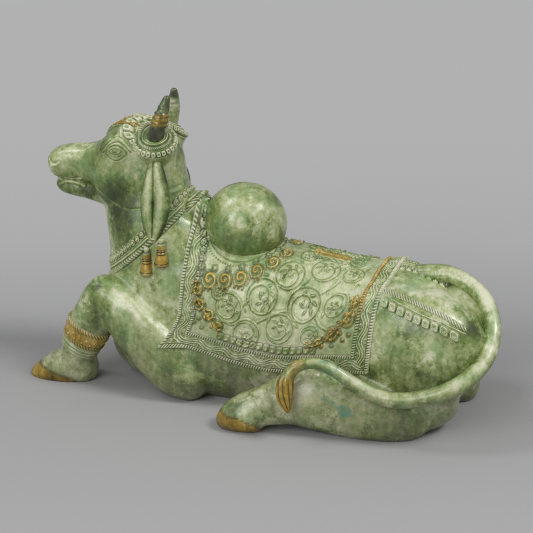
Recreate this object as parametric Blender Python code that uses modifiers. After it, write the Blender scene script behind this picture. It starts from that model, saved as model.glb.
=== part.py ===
"""A recumbent Nandi bull, cast in one piece in brass and patinated green.

The bull faces -X, +Z is up and it rests on the plane z = 0. Sizes below are in
millimetres and become metres where a mesh is made. The near side is -Y.
"""

import math

import bmesh
import bpy
from mathutils import Matrix, Vector
from mathutils.bvhtree import BVHTree

MM = 0.001
NODE = "nandi_bull"

# Driving sizes.
HUMP_RADIUS = 34.0
HUMP_CENTRE = (-23.5, 0.0, 142.5)
BODY_VOXEL = 2.6
FIRM_VOXEL = 2.0
BODY_TRIANGLES = 5000
ALL_TRIANGLES = 9800
# Brings the middle of the figure's footprint to the origin.
FRAME_SHIFT = (2.35, 14.65, 0.0)
CLOTH_AXIS_Z = 55.0
CLOTH_LENGTH = 176.0
CLOTH_DROP = 110.0
CLOTH_BORDER = 16.0
CLOTH_SINK = 4.5
# Side of the cloth from ridge (0) to hem (1), with the x of its front and rear edges.
CLOTH_EDGES = [(0, -63, 111), (0.35, -62.5, 108.5), (0.7, -63, 105), (0.9, -71, 103.5), (1, -79, 103)]
# Hem angle from the ridge, in degrees, along the cloth from front (0) to rear (1).
CLOTH_HEM = [(0, 96), (0.1, 96.5), (0.2, 99.5), (0.4, 105.5), (0.52, 107), (0.63, 105), (0.8, 98.5), (1, 92)]
# Garland at the foot of the hump, and the pearls in front of it, as places on the cloth.
HUMP_GARLAND = [(0, 0.142, 0.43), (0.3, 0.267, 0.36), (0.6, 0.375, 0.27), (0.86, 0.458, 0.14),
                (1, 0.485, 0.07)]
PEARL_PLACES = [(0.108, 0.39), (0.108, 0.33), (0.1, 0.27), (0.092, 0.21), (0.083, 0.15),
                (0.07, 0.11), (0.06, 0.08), (0.055, 0.05)]
# Height of the cloth over the body by distance from its edge.
CLOTH_RELIEF = [(0, 1.6), (0.8, 3.4), (2.6, 3.4), (3.4, 2.1), (12.4, 2.1), (13.2, 3.3),
                (15.4, 3.3), (16.2, 1.6), (40, 1.6)]


def clear_scene():
    for obj in list(bpy.data.objects):
        bpy.data.objects.remove(obj)


def collection(name):
    made = bpy.data.collections.new(name)
    bpy.context.scene.collection.children.link(made)
    return made


def add_object(name, bm, where):
    """An object made of a bmesh in millimetres."""
    bmesh.ops.recalc_face_normals(bm, faces=bm.faces)
    bmesh.ops.transform(bm, matrix=Matrix.Scale(MM, 4), verts=bm.verts)
    mesh = bpy.data.meshes.new(name)
    bm.to_mesh(mesh)
    bm.free()
    obj = bpy.data.objects.new(name, mesh)
    where.objects.link(obj)
    return obj


def spline(stations, steps):
    """Catmull-Rom points through the stations, each a tuple of numbers."""
    rows = [Vector(s) if len(s) < 5 else list(s) for s in stations]
    rows = [list(r) for r in rows]
    found = []
    for i in range(len(rows) - 1):
        a = rows[max(i - 1, 0)]
        b, c = rows[i], rows[i + 1]
        d = rows[min(i + 2, len(rows) - 1)]
        for k in range(steps):
            t = k / steps
            found.append([
                0.5 * (2 * q + (r - p) * t + (2 * p - 5 * q + 4 * r - s) * t * t
                       + (3 * q - p - 3 * r + s) * t ** 3)
                for p, q, r, s in zip(a, b, c, d)
            ])
    found.append(rows[-1])
    return found


def ring(bm, centre, side, up, half_width, half_height, power, count):
    """One superellipse section as a loop of vertices."""
    made = []
    for k in range(count):
        a = 2 * math.pi * k / count
        c, s = math.cos(a), math.sin(a)
        u = half_width * math.copysign(abs(c) ** (2 / power), c)
        v = half_height * math.copysign(abs(s) ** (2 / power), s)
        made.append(bm.verts.new(centre + side * u + up * v))
    return made


def bridge(bm, rings):
    for a, b in zip(rings, rings[1:]):
        for k in range(len(a)):
            n = (k + 1) % len(a)
            bm.faces.new((a[k], a[n], b[n], b[k]))
    bm.faces.new(rings[0])
    bm.faces.new(list(reversed(rings[-1])))


def limb(stations, side=(0, 1, 0), power=2.0, steps=4, count=28, cap=0.6):
    """A closed loft: stations are (x, y, z, half width, half height).

    The half width runs along side as far as the limb's direction allows, and the
    ends are closed with domes whose depth is cap times the smaller radius.
    """
    path = spline(stations, steps)
    bm = bmesh.new()
    rings = []
    points = [Vector(p[:3]) for p in path]
    for i, row in enumerate(path):
        ahead = points[min(i + 1, len(points) - 1)] - points[max(i - 1, 0)]
        ahead.normalize()
        across = Vector(side) - ahead * ahead.dot(Vector(side))
        across.normalize()
        up = ahead.cross(across)
        w, h = row[3], row[4]
        ends = []
        if i in (0, len(path) - 1):
            reach = cap * min(w, h)
            sign = -1 if i == 0 else 1
            for f in (0.5, 0.87, 0.995):
                ends.append((points[i] + ahead * (sign * reach * f), math.sqrt(1 - f * f)))
        loops = [(points[i], 1.0)]
        if ends:
            loops = ends[::-1] + loops if i == 0 else loops + ends
        for centre, k in loops:
            rings.append(ring(bm, centre, across, up, w * k, h * k, power, count))
    bridge(bm, rings)
    return bm


def column(stations, steps=4, count=32, power=2.2):
    """A closed loft of level sections: (z, x front, x back, half width, y)."""
    path = spline(stations, steps)
    bm = bmesh.new()
    rings = []
    for z, front, back, half, y in path:
        centre = Vector(((front + back) / 2, y, z))
        rings.append(ring(bm, centre, Vector((1, 0, 0)), Vector((0, 1, 0)),
                          (back - front) / 2, half, power, count))
    bridge(bm, rings)
    return bm


def barrel(stations, steps=4, count=40, power=2.3, cap=0.35):
    """A closed loft of upright sections: (x, z top, z bottom, half width, y)."""
    rows = [(x, y, (top + low) / 2, half, (top - low) / 2) for x, top, low, half, y in stations]
    return limb(rows, power=power, steps=steps, count=count, cap=cap)


def ball(centre, radii, turn=(0, 0, 0), segments=32, rings=20):
    """An ellipsoid, turned by degrees about X, then Y, then Z."""
    bm = bmesh.new()
    bmesh.ops.create_uvsphere(bm, u_segments=segments, v_segments=rings, radius=1)
    rot = Matrix.Identity(4)
    for angle, axis in zip(turn, "XYZ"):
        rot = Matrix.Rotation(math.radians(angle), 4, axis) @ rot
    scale = Matrix.Diagonal((*radii, 1))
    bmesh.ops.transform(bm, matrix=Matrix.Translation(centre) @ rot @ scale, verts=bm.verts)
    return bm


def torso():
    """Chest to rump, flat where it is cut at the ground."""
    return barrel([
        (-130, 104, 22, 24, 4), (-119, 122, 0, 37, 2), (-99, 136, -12, 46, 0),
        (-70, 140, -16, 51, 0), (-40, 132, -16, 54, 0), (-10, 127, -16, 56, 0),
        (24, 124, -16, 57, 0), (55, 120, -16, 58, 0), (88, 118, -16, 59, 0),
        (108, 121, -16, 60, 0), (130, 122.5, -14, 58, 0), (146, 117, -2, 48, 2),
        (157, 106, 12, 35, 5), (166, 92, 27, 26, 7),
    ])


def withers():
    return ball((-66, 0, 150), (14, 20, 16), turn=(0, 14, 0))


def neck():
    return column([
        (222, -113, -97, 12, 0), (212, -119, -87, 20, 0), (195, -124, -79, 23, 0),
        (178, -131, -76.5, 25, 0), (164, -139, -72, 28, 0), (150, -146, -64, 33, 0),
        (136, -144.5, -48, 39, 0), (122, -142.5, -38, 43, 0), (104, -141.5, -32, 46, 0),
        (84, -141, -30, 48, 0), (60, -136, -40, 47, 0), (36, -126, -50, 44, 0),
    ])


def skull():
    """Muzzle, forehead and poll in one loft along the head."""
    return barrel([
        (-196, 188, 171, 10.5, 0), (-192, 192, 167.5, 14.5, 0), (-185, 194.5, 166, 16, 0),
        (-176, 196.5, 165, 15.5, 0), (-166, 198, 164, 16, 0), (-155, 200, 162, 18.5, 0),
        (-145, 204, 160, 22.5, 0), (-135, 211, 158, 25.5, 0), (-122, 221.5, 156, 26, 0),
        (-108, 226, 158, 24, 0), (-97, 224, 166, 21, 0), (-90, 216, 174, 18, 0),
    ], power=2.4, cap=0.4)


def jaw():
    return barrel([
        (-190, 168, 158.5, 9.5, 0), (-184, 168, 153.5, 12.5, 0), (-174, 168, 151.5, 14, 0),
        (-163, 167, 150.5, 15, 0), (-150, 167, 148, 17, 0), (-135, 168, 144.5, 19, 0),
        (-118, 170, 144, 20, 0), (-104, 172, 150, 18, 0),
    ], power=2.2, cap=0.5)


def face_masses(sign):
    """Cheek, brow, horn boss and nostril on one side."""
    return [
        ball((-126, sign * 15, 172), (27, 13, 25)),
        ball((-127, sign * 19, 201), (17, 8.5, 12)),
        ball((-187, sign * 9, 179), (9, 8, 8.5)),
    ]


def horn_mound(sign):
    """The low boss that the horn and its rings stand on."""
    back = -4 * max(sign, 0)
    normal = Vector((0.08, sign * 0.42, 0.9)).normalized()
    base = Vector((-95 + back, sign * 17.5, 210.5))
    rows = [(-16, 14), (-5, 17), (0.5, 15.5), (3, 12)]
    return limb([(*(base + normal * d), r, r) for d, r in rows], count=24, cap=0.3)


def near_foreleg():
    """Raised knee, with the hoof set down in front."""
    forearm = limb([
        (-54, -46, 16, 17, 20), (-70, -48, 27, 18, 25), (-90, -48, 46, 17.5, 25),
        (-108, -46, 62, 17, 23), (-123, -43, 75, 16.5, 19.5), (-134, -42, 80, 16, 16.5),
    ], side=(0, 1, 0), cap=0.9)
    cannon = limb([
        (-134.5, -42, 80, 16, 17), (-143, -41.5, 63, 16, 18), (-150.5, -41, 48, 15.5, 18),
        (-156, -40.5, 36, 15, 16.5), (-160.5, -40, 25, 14.5, 15.5), (-161.5, -39, 14, 15, 16),
    ], side=(0, 1, 0), cap=0.4)
    hoof = limb([
        (-157, -34, 8, 16, 16), (-168, -37, 8.5, 17, 17.5), (-180, -39, 6, 16, 16.5),
        (-192, -39.5, 2.5, 14, 12), (-201, -39.5, 0, 10, 7),
    ], side=(0, 1, 0), cap=0.7)
    knee = ball((-133.5, -42, 80.5), (17, 16.5, 17.5))
    return [forearm, cannon, hoof, knee]


def far_foreleg():
    """Folded under the chest, knee forward on the ground."""
    forearm = limb([
        (-60, 44, 22, 17, 22), (-84, 42, 22, 17, 20), (-108, 37, 20, 16, 17),
        (-126, 31, 17, 14.5, 15), (-137, 27, 14, 13, 13),
    ], side=(0, 1, 0), cap=0.9)
    cannon = limb([
        (-134, 26, 11, 12, 11), (-118, 32, 9, 11.5, 11), (-100, 44, 9, 11.5, 11),
        (-86, 51, 8, 12, 11),
    ], side=(0, 1, 0), cap=0.5)
    hoof = limb([
        (-88, 50, 8, 13, 11), (-74, 56, 8, 13.5, 12), (-62, 59, 7, 12, 10), (-53, 61, 4, 8, 6),
    ], side=(0, 1, 0), cap=0.6)
    return [forearm, cannon, hoof]


def quarters():
    """Shoulders and thighs, which the body's skin runs over."""
    made = []
    for sign in (-1, 1):
        made.append(ball((-80, sign * 33, 76), (36, 18, 52), turn=(0, -14, 0)))
        made.append(ball((-62, sign * 40, 24), (25, 17, 26)))
    made.append(barrel([
        (62, 96, -4, 21, -37), (84, 106, -6, 25, -38), (104, 114, -8, 29, -38.5),
        (122, 119.5, -8, 33, -38), (140, 121, 4, 36, -36.5), (155, 117.5, 20, 36, -34),
        (169, 108, 33, 32.5, -31), (180, 97, 44, 26, -28), (185, 87, 54, 18, -26),
    ], power=2.25))
    made.append(barrel([
        (62, 96, -4, 21, 36), (84, 103, -6, 25, 36), (104, 108, -8, 28, 36),
        (120, 108, -8, 31, 35), (134, 106, -2, 33, 33), (147, 100, 6, 32, 30),
        (157, 90, 16, 28, 27), (165, 80, 28, 22, 25), (170, 70, 38, 15, 24),
    ], power=2.25))
    return made


def near_hindleg():
    shank = limb([
        (136, -56, 17, 20, 22), (118, -62, 19, 22, 25), (92, -68, 22, 21, 26),
        (66, -73, 27, 19, 26), (47, -78, 28, 16, 24), (33, -82, 24, 14.5, 19),
        (18, -85, 19, 14, 16), (6, -87, 14, 14.5, 15.5),
    ], side=(0, 1, 0), cap=0.5)
    hoof = limb([
        (16, -87, 13, 15, 15), (5, -87, 12, 16, 15.5), (-4, -87, 8.5, 15, 13),
        (-12, -86.5, 4.5, 11, 8),
    ], side=(0, 1, 0), cap=0.6)
    hock = ball((135, -50, 18), (18, 24, 23))
    return [shank, hoof, hock]


def far_hindleg():
    shank = limb([
        (150, 38, 15, 18, 20), (124, 48, 18, 19, 22), (96, 52, 20, 18, 22),
        (70, 56, 20, 16, 19), (50, 60, 17, 14, 15), (34, 63, 13, 13, 13),
    ], side=(0, 1, 0), cap=0.5)
    hoof = limb([
        (40, 62, 12, 13.5, 13), (28, 64, 11, 14, 13), (18, 65.5, 8, 13, 11), (8, 66, 4, 9, 6.5),
    ], side=(0, 1, 0), cap=0.6)
    hock = ball((157, 31, 12), (15, 19, 19))
    return [shank, hoof, hock]


def ear(sign):
    """A long ear hanging beside the neck, in two lobes. The far one hangs further forward."""
    lead = -9 * max(sign, 0)
    front = [
        (-94.5, 26, 192, 3.5, 3.5), (-96, 30, 178, 3.6, 4.6), (-97, 34, 162, 3.6, 5.2),
        (-95, 37, 146, 3.4, 4.6), (-91.5, 38.5, 131, 2.6, 2.8),
    ]
    back = [
        (-90.5, 26, 193, 4, 4), (-86, 30, 179, 4.6, 6), (-83, 34, 163.5, 4.6, 6.6),
        (-84.5, 37, 147.5, 4, 5.4), (-89.5, 38.5, 131, 2.6, 2.8),
    ]
    return [limb([(x + lead, sign * y, z, w, h) for x, y, z, w, h in lobe], count=16, cap=0.9)
            for lobe in (front, back)]


def horn(sign):
    shift = -4 * max(sign, 0)
    return limb([
        (-95 + shift, sign * 19, 206, 7, 7), (-93 + shift, sign * 20, 217, 6.8, 6.8),
        (-90 + shift, sign * 18.5, 228.5, 5.8, 5.8), (-87.5 + shift, sign * 15.5, 239, 4.6, 4.6),
        (-86 + shift, sign * 12.5, 247, 3, 3),
    ], side=(0, 1, 0), count=20, cap=0.9)


def tail():
    """From the rump round the near thigh, arching over the shank to a tuft."""
    return limb([
        (138, 0, 117, 10, 8), (152, -1.5, 118, 8.6, 7), (168, -7, 113.5, 7.2, 7),
        (183, -16, 104, 7, 7), (192, -30, 90, 7, 7), (193, -44, 76, 7, 7),
        (188, -58.5, 64.5, 6.9, 6.9), (175, -71.5, 54, 6.8, 6.8), (156.5, -79.5, 46, 6.6, 6.6),
        (133, -84, 41, 6.4, 6.4), (112.5, -86, 43.5, 6, 6), (93.5, -86.5, 52.5, 5.4, 5.4),
        (78, -88, 61.5, 4.8, 4.8), (64, -90.5, 65.5, 4.6, 4.6), (52.5, -95, 62.5, 4.6, 4.8),
        (46, -99.5, 53.5, 4.8, 5.2),
    ], side=(0, 1, 0), count=20, cap=0.4)


def tail_web():
    """The metal left between the root of the tail and the rump."""
    return limb([
        (156, -3, 107, 7, 7), (168, -8, 102.5, 7, 8), (179, -16, 95, 7, 8), (186, -28, 82, 6, 7),
    ], count=20, cap=0.8)


def tuft():
    return limb([
        (46.8, -98.5, 56, 4.4, 4.6), (44.8, -100.5, 47.5, 5.6, 6.6), (45.2, -102.5, 38, 5.4, 6),
        (47.4, -103.5, 28.5, 2.6, 2.8),
    ], side=(0, 1, 0), count=20, cap=0.8)


def hump():
    return ball(HUMP_CENTRE, (HUMP_RADIUS * 1.02, HUMP_RADIUS * 0.98, HUMP_RADIUS))


def add_into(whole, shape):
    """Moves one bmesh into another."""
    mesh = bpy.data.meshes.new("shape")
    shape.to_mesh(mesh)
    whole.from_mesh(mesh)
    shape.free()
    bpy.data.meshes.remove(mesh)


def fuse(name, shapes, voxel, rounds, where):
    """One closed skin over the shapes: a voxel remesh, then smoothing."""
    whole = bmesh.new()
    for shape in shapes:
        add_into(whole, shape)
    obj = add_object(name, whole, where)
    remesh = obj.modifiers.new("skin", "REMESH")
    remesh.mode = "VOXEL"
    remesh.voxel_size = voxel * MM
    smooth = obj.modifiers.new("soften", "SMOOTH")
    smooth.factor = 0.5
    smooth.iterations = rounds
    return freeze(obj)


def freeze(obj):
    """The object with its modifiers applied."""
    bpy.context.view_layer.update()
    graph = bpy.context.evaluated_depsgraph_get()
    mesh = bpy.data.meshes.new_from_object(obj.evaluated_get(graph))
    obj.modifiers.clear()
    obj.data = mesh
    return obj


def as_bmesh(obj):
    """The object's mesh as a bmesh in millimetres, and the object removed."""
    bm = bmesh.new()
    bm.from_mesh(obj.data)
    bmesh.ops.transform(bm, matrix=Matrix.Scale(1 / MM, 4), verts=bm.verts)
    bpy.data.objects.remove(obj)
    return bm


def surface(obj):
    """A tree for rays onto the object, in millimetres."""
    bm = bmesh.new()
    bm.from_mesh(obj.data)
    bmesh.ops.transform(bm, matrix=Matrix.Scale(1 / MM, 4), verts=bm.verts)
    tree = BVHTree.FromBMesh(bm)
    bm.free()
    return tree


def cast(tree, origin, outward, reach=130.0):
    """The outermost point of the surface from the origin in one direction."""
    outward = Vector(outward).normalized()
    hit = tree.ray_cast(Vector(origin) + outward * reach, -outward, reach)[0]
    return Vector(origin) if hit is None else hit


def between(table, at):
    """Values of a table of rows at one place, straight between its rows."""
    for low, high in zip(table, table[1:]):
        if at <= high[0]:
            t = max(0.0, (at - low[0]) / (high[0] - low[0]))
            return [p + (q - p) * t for p, q in zip(low[1:], high[1:])]
    return list(table[-1][1:])


def cloth_point(tree, a, b):
    """Where the cloth lies: a runs front to rear, b from the near hem (-1) to the far one (1)."""
    front, rear = between(CLOTH_EDGES, abs(b))
    angle = b * math.radians(between(CLOTH_HEM, a)[0])
    outward = Vector((0, math.sin(angle), math.cos(angle)))
    origin = Vector((front + (rear - front) * a, 0, CLOTH_AXIS_Z))
    return cast(tree, origin, outward), outward


def steps_across(length, inner):
    """Places along the cloth, close together where its borders step up and down."""
    edges = [row[0] for row in CLOTH_RELIEF[:-1]]
    start = [e / length for e in edges]
    middle = [start[-1] + (1 - 2 * start[-1]) * k / inner for k in range(1, inner)]
    return start + middle + [1 - f for f in reversed(start)]


def saddle_cloth(tree):
    """A closed slab over back and flanks, with raised borders."""
    along = steps_across(CLOTH_LENGTH, 14)
    over = [2 * f - 1 for f in steps_across(2 * CLOTH_DROP, 20)]
    bm = bmesh.new()
    layers = []
    for sunk in (False, True):
        rows = []
        for b in over:
            row = []
            for a in along:
                point, outward = cloth_point(tree, a, b)
                near = min(a * CLOTH_LENGTH, (1 - a) * CLOTH_LENGTH, (1 - abs(b)) * CLOTH_DROP)
                rise = -CLOTH_SINK if sunk else between(CLOTH_RELIEF, near)[0]
                row.append(bm.verts.new(point + outward * rise))
            rows.append(row)
        layers.append(rows)
    top, low = layers
    m, n = len(over), len(along)
    for j in range(m - 1):
        for i in range(n - 1):
            bm.faces.new((top[j][i], top[j][i + 1], top[j + 1][i + 1], top[j + 1][i]))
            bm.faces.new((low[j][i], low[j + 1][i], low[j + 1][i + 1], low[j][i + 1]))
    rim = [(0, i) for i in range(n)] + [(j, n - 1) for j in range(1, m)]
    rim += [(m - 1, i) for i in range(n - 2, -1, -1)] + [(j, 0) for j in range(m - 2, 0, -1)]
    for (j, i), (k, h) in zip(rim, rim[1:] + rim[:1]):
        bm.faces.new((top[j][i], low[j][i], low[k][h], top[k][h]))
    return bm


def rope(points, outwards, half_width, half_height, sides=6, closed=True):
    """A cord along a path on the skin, half sunk in it."""
    bm = bmesh.new()
    rings = []
    count = len(points)
    for i, (point, outward) in enumerate(zip(points, outwards)):
        ahead = points[(i + 1) % count] if closed else points[min(i + 1, count - 1)]
        behind = points[i - 1] if closed else points[max(i - 1, 0)]
        tangent = (ahead - behind).normalized()
        up = (outward - tangent * outward.dot(tangent)).normalized()
        rings.append(ring(bm, point, tangent.cross(up), up, half_width, half_height, 2.2, sides))
    if not closed:
        bridge(bm, rings)
        return bm
    for a, b in zip(rings, rings[1:] + rings[:1]):
        for k in range(sides):
            n = (k + 1) % sides
            bm.faces.new((a[k], a[n], b[n], b[k]))
    return bm


def girdle(tree, centre, across, up, count, sag=0.0, reach=130.0):
    """Points on the skin all round a centre, no further out than reach, with directions."""
    points, outwards = [], []
    for k in range(count):
        angle = 2 * math.pi * k / count
        outward = Vector(across) * math.cos(angle) + Vector(up) * math.sin(angle)
        origin = Vector(centre) + Vector((0, 0, -sag * math.sin(angle) ** 2))
        points.append(cast(tree, origin, outward, reach))
        outwards.append(outward.normalized())
    return points, outwards


def circlet(tree, centre, normal, high, wide, count):
    """Points of a ring, wide along X, dropped onto the skin along the ring's own axis."""
    normal = Vector(normal).normalized()
    up = (Vector((1, 0, 0)) - normal * normal.x).normalized()
    across = normal.cross(up)
    points = []
    for k in range(count):
        angle = 2 * math.pi * k / count
        flat = across * (high * math.cos(angle)) + up * (wide * math.sin(angle))
        points.append(cast(tree, Vector(centre) - normal * 20 + flat, normal, 60))
    return points, [normal] * count


def pearl(point, outward, radii):
    """A flat bead set on the skin: radii across and out of it."""
    bm = bmesh.new()
    bmesh.ops.create_icosphere(bm, subdivisions=1, radius=1)
    turn = Vector(outward).to_track_quat("Z", "Y").to_matrix().to_4x4()
    scale = Matrix.Diagonal((radii[0], radii[0], radii[1], 1))
    bmesh.ops.transform(bm, matrix=Matrix.Translation(point) @ turn @ scale, verts=bm.verts)
    return bm


def bell(top):
    """A small bell hanging straight down from its top."""
    bm = bmesh.new()
    rings = []
    for drop, radius in ((0, 2.0), (3, 3.0), (7, 3.2), (12, 5.0), (19, 5.6), (21, 4.8)):
        centre = Vector(top) - Vector((0, 0, drop))
        rings.append(ring(bm, centre, Vector((1, 0, 0)), Vector((0, 1, 0)), radius, radius, 2, 10))
    bridge(bm, rings)
    return bm


def collar(tree):
    """Two cords round the neck, from the throat up to the withers."""
    made = []
    for lift in (0.0, 5.4):
        slope = Vector((0.732, 0, 0.681))
        centre = Vector((-104 - lift * 0.55, 0, 127.5 + lift * 0.85))
        points, outwards = girdle(tree, centre, slope, (0, 1, 0), 36, sag=4.0)
        made.append(rope(points, outwards, 2.0, 2.2))
    for sign in (-1, 1):
        for x, y, z in ((-95, 45.5, 124), (-80, 46.5, 135)):
            made.append(bell((x, sign * y, z)))
    return made


def anklet(tree):
    """Cords and a band round the raised foreleg, with a plain band below."""
    down = Vector((-0.43, 0.03, -0.9)).normalized()
    across = down.cross(Vector((0, 1, 0))).normalized()
    made = []
    for shift, width, height in ((-7, 1.6, 2.4), (0, 7.2, 1.3), (7, 1.6, 2.4), (13, 2.2, 1.4)):
        centre = Vector((-151.5, -41, 45)) + down * shift
        points, outwards = girdle(tree, centre, across, down.cross(across), 22, reach=25)
        made.append(rope(points, outwards, width, height))
    return made


def head_gear(tree, sign):
    """Rings about one horn and on it, and the rim and ball of one eye."""
    back = -4 * max(sign, 0)
    made = []
    base = (-95 + back, sign * 17.5, 210.5)
    for radius, width in ((10.5, 1.5), (15.5, 2.1)):
        points, outwards = circlet(tree, base, (0.08, sign * 0.42, 0.9), radius, radius, 20)
        made.append(rope(points, outwards, width, width))
    for x, y, z, radius in ((-89.7, 18.2, 229.5, 6.2), (-88.9, 17.4, 232.8, 6.0)):
        centre = Vector((x + back, sign * y, z))
        axis = Vector((0.25, sign * -0.28, 0.93)).normalized()
        across = axis.cross(Vector((0, 1, 0))).normalized()
        up = axis.cross(across)
        turns = [2 * math.pi * k / 12 for k in range(12)]
        outwards = [across * math.cos(t) + up * math.sin(t) for t in turns]
        made.append(rope([centre + o * radius for o in outwards], outwards, 1.2, 1.5))
    eye = Vector((-126, sign * 18, 201.5))
    normal = Vector((-0.22, sign * 0.95, 0.12))
    points, outwards = circlet(tree, eye, normal, 4.6, 7.4, 12)
    made.append(rope(points, outwards, 1.0, 1.1))
    made.append(pearl(cast(tree, eye, normal, 60), normal, (3.4, 1.7)))
    return made


def brow_beads(tree):
    """Beads across the forehead, from one horn ring to the other."""
    made = []
    for k in range(9):
        f = k / 4 - 1
        origin = Vector((-120, 0, 196))
        outward = Vector((-1.2 + 1.7 * abs(f) ** 0.8, 0.5 * f, 1)).normalized()
        made.append(pearl(cast(tree, origin, outward), outward, (3.1, 2.4)))
    return made


def hump_garland(tree, sign):
    """Large beads along the foot of the hump."""
    made = []
    for k in range(8):
        a, b = between(HUMP_GARLAND, k / 7)
        point, outward = cloth_point(tree, a, sign * b)
        made.append(pearl(point + outward * 2, outward, (5.2, 2.8)))
    return made


def pearl_column(tree, sign):
    """Beads up the inner front edge of the cloth."""
    made = []
    for a, b in PEARL_PLACES:
        point, outward = cloth_point(tree, a, sign * b)
        made.append(pearl(point + outward * 2, outward, (2.6, 1.9)))
    return made


def rump_garland(tree, sign):
    """A cord with beads under it, from the cloth's rear edge back to the tail."""
    made = []
    path = [between([(0, 105, 123), (0.35, 133, 116), (0.75, 163, 106), (1, 179, 97)], k / 9)
            for k in range(10)]
    points = [cast(tree, (x, 0, z - 22), (0, sign, 0.36)) for x, z in path]
    made.append(rope(points, [Vector((0, sign, 0.36)).normalized()] * 10, 1.8, 2.0, closed=False))
    for k in range(1, 9):
        x, z = path[k]
        outward = Vector((0, sign, 0.36))
        made.append(pearl(cast(tree, (x, 0, z - 29), outward), outward, (3.2, 2.4)))
    return made


def crupper(tree):
    """The strap from the cloth back to the tail."""
    points = [cast(tree, (108 + 5 * k, -2, 60), (0, 0, 1)) for k in range(9)]
    return rope(points, [Vector((0, 0, 1))] * 9, 5.5, 1.6, sides=8, closed=False)


def figure(parts, cutters):
    """Body masses, then head and legs, then hump, tail, ears and horns; and its dress."""
    mass = fuse("mass", [torso(), withers()] + quarters(), BODY_VOXEL, 26, cutters)
    mass = as_bmesh(mass)
    mass_copy = mass.copy()
    under = fuse("under", [mass.copy(), neck(), near_foreleg()[0]], BODY_VOXEL, 9, cutters)
    under_cloth = surface(under)
    bpy.data.objects.remove(under)
    soft = [mass, neck(), skull(), jaw()]
    for sign in (-1, 1):
        soft += face_masses(sign) + [horn_mound(sign)]
    soft += near_foreleg() + far_foreleg() + near_hindleg() + far_hindleg()
    core = fuse("core", soft, BODY_VOXEL, 9, cutters)
    skin = surface(core)
    whole = bmesh.new()
    for shape in (mass_copy, neck()):
        add_into(whole, shape)
    throat = BVHTree.FromBMesh(whole)
    firm = [as_bmesh(core), hump(), tail(), tail_web(), tuft()]
    for sign in (-1, 1):
        firm += ear(sign) + [horn(sign)]
    bull = fuse(NODE, firm, FIRM_VOXEL, 3, parts)
    dress = [saddle_cloth(under_cloth)] + collar(throat) + anklet(skin) + brow_beads(skin)
    dress.append(crupper(skin))
    for sign in (-1, 1):
        dress += head_gear(skin, sign) + hump_garland(under_cloth, sign)
        dress += pearl_column(under_cloth, sign) + rump_garland(skin, sign)
    for k, piece in enumerate(dress):
        add_object(f"dress_{k}", piece, cutters).display_type = "WIRE"
    return bull


def thin(obj, triangles):
    """Collapses the object's skin to about so many triangles."""
    slim = obj.modifiers.new("slim", "DECIMATE")
    slim.ratio = triangles / sum(len(p.vertices) - 2 for p in obj.data.polygons)
    freeze(obj)


def drop_crumbs(bm):
    """Keeps the largest connected skin, so that no bubble or chip is left by a join."""
    left = set(bm.verts)
    skins = []
    while left:
        edge = [left.pop()]
        skin = set(edge)
        while edge:
            near = edge.pop()
            for link in near.link_edges:
                far = link.other_vert(near)
                if far in left:
                    left.discard(far)
                    skin.add(far)
                    edge.append(far)
        skins.append(skin)
    skins.sort(key=len)
    for skin in skins[:-1]:
        bmesh.ops.delete(bm, geom=list(skin), context="VERTS")


def clean(obj):
    """Triangulates the skin and drops stray chips."""
    bm = bmesh.new()
    bm.from_mesh(obj.data)
    bmesh.ops.triangulate(bm, faces=bm.faces)
    drop_crumbs(bm)
    bm.to_mesh(obj.data)
    bm.free()


def ground_box(where):
    bm = bmesh.new()
    bmesh.ops.create_cube(bm, size=1)
    box = Matrix.Translation((0, 0, -50)) @ Matrix.Diagonal((600, 400, 100, 1))
    bmesh.ops.transform(bm, matrix=box, verts=bm.verts)
    return add_object("ground", bm, where)


def metal():
    made = bpy.data.materials.new("patinated_brass")
    made.use_nodes = True
    shader = made.node_tree.nodes["Principled BSDF"]
    shader.inputs["Base Color"].default_value = (0.24, 0.33, 0.17, 1)
    shader.inputs["Metallic"].default_value = 0.3
    shader.inputs["Roughness"].default_value = 0.5
    return made


def main():
    clear_scene()
    parts = collection("nandi")
    dress = collection("dress")
    dress.hide_render = True
    bull = figure(parts, dress)
    thin(bull, BODY_TRIANGLES)
    join = bull.modifiers.new("dress", "BOOLEAN")
    join.operation = "UNION"
    join.operand_type = "COLLECTION"
    join.collection = dress
    join.solver = "MANIFOLD"
    freeze(bull)
    clean(bull)
    thin(bull, ALL_TRIANGLES)
    cutters = collection("cutters")
    cutters.hide_render = True
    cut = bull.modifiers.new("ground", "BOOLEAN")
    cut.operation = "DIFFERENCE"
    cut.object = ground_box(cutters)
    cut.solver = "EXACT"
    freeze(bull)
    bull.data.transform(Matrix.Translation(Vector(FRAME_SHIFT) * MM))
    bull.data.shade_smooth()
    bull.data.set_sharp_from_angle(angle=math.radians(32))
    bull.data.materials.clear()
    bull.data.materials.append(metal())


main()
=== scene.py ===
"""Looks of a recumbent Nandi bull cast in brass: chased detail, green patina and studio.

Sizes are in millimetres in the figure's own layout, and every piece is moved by
FRAME_SHIFT and scaled to metres when it is made. The near side is -Y.
"""

import math

import bmesh
import bpy
import numpy as np
from mathutils import Matrix, Vector
from mathutils.bvhtree import BVHTree

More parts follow.
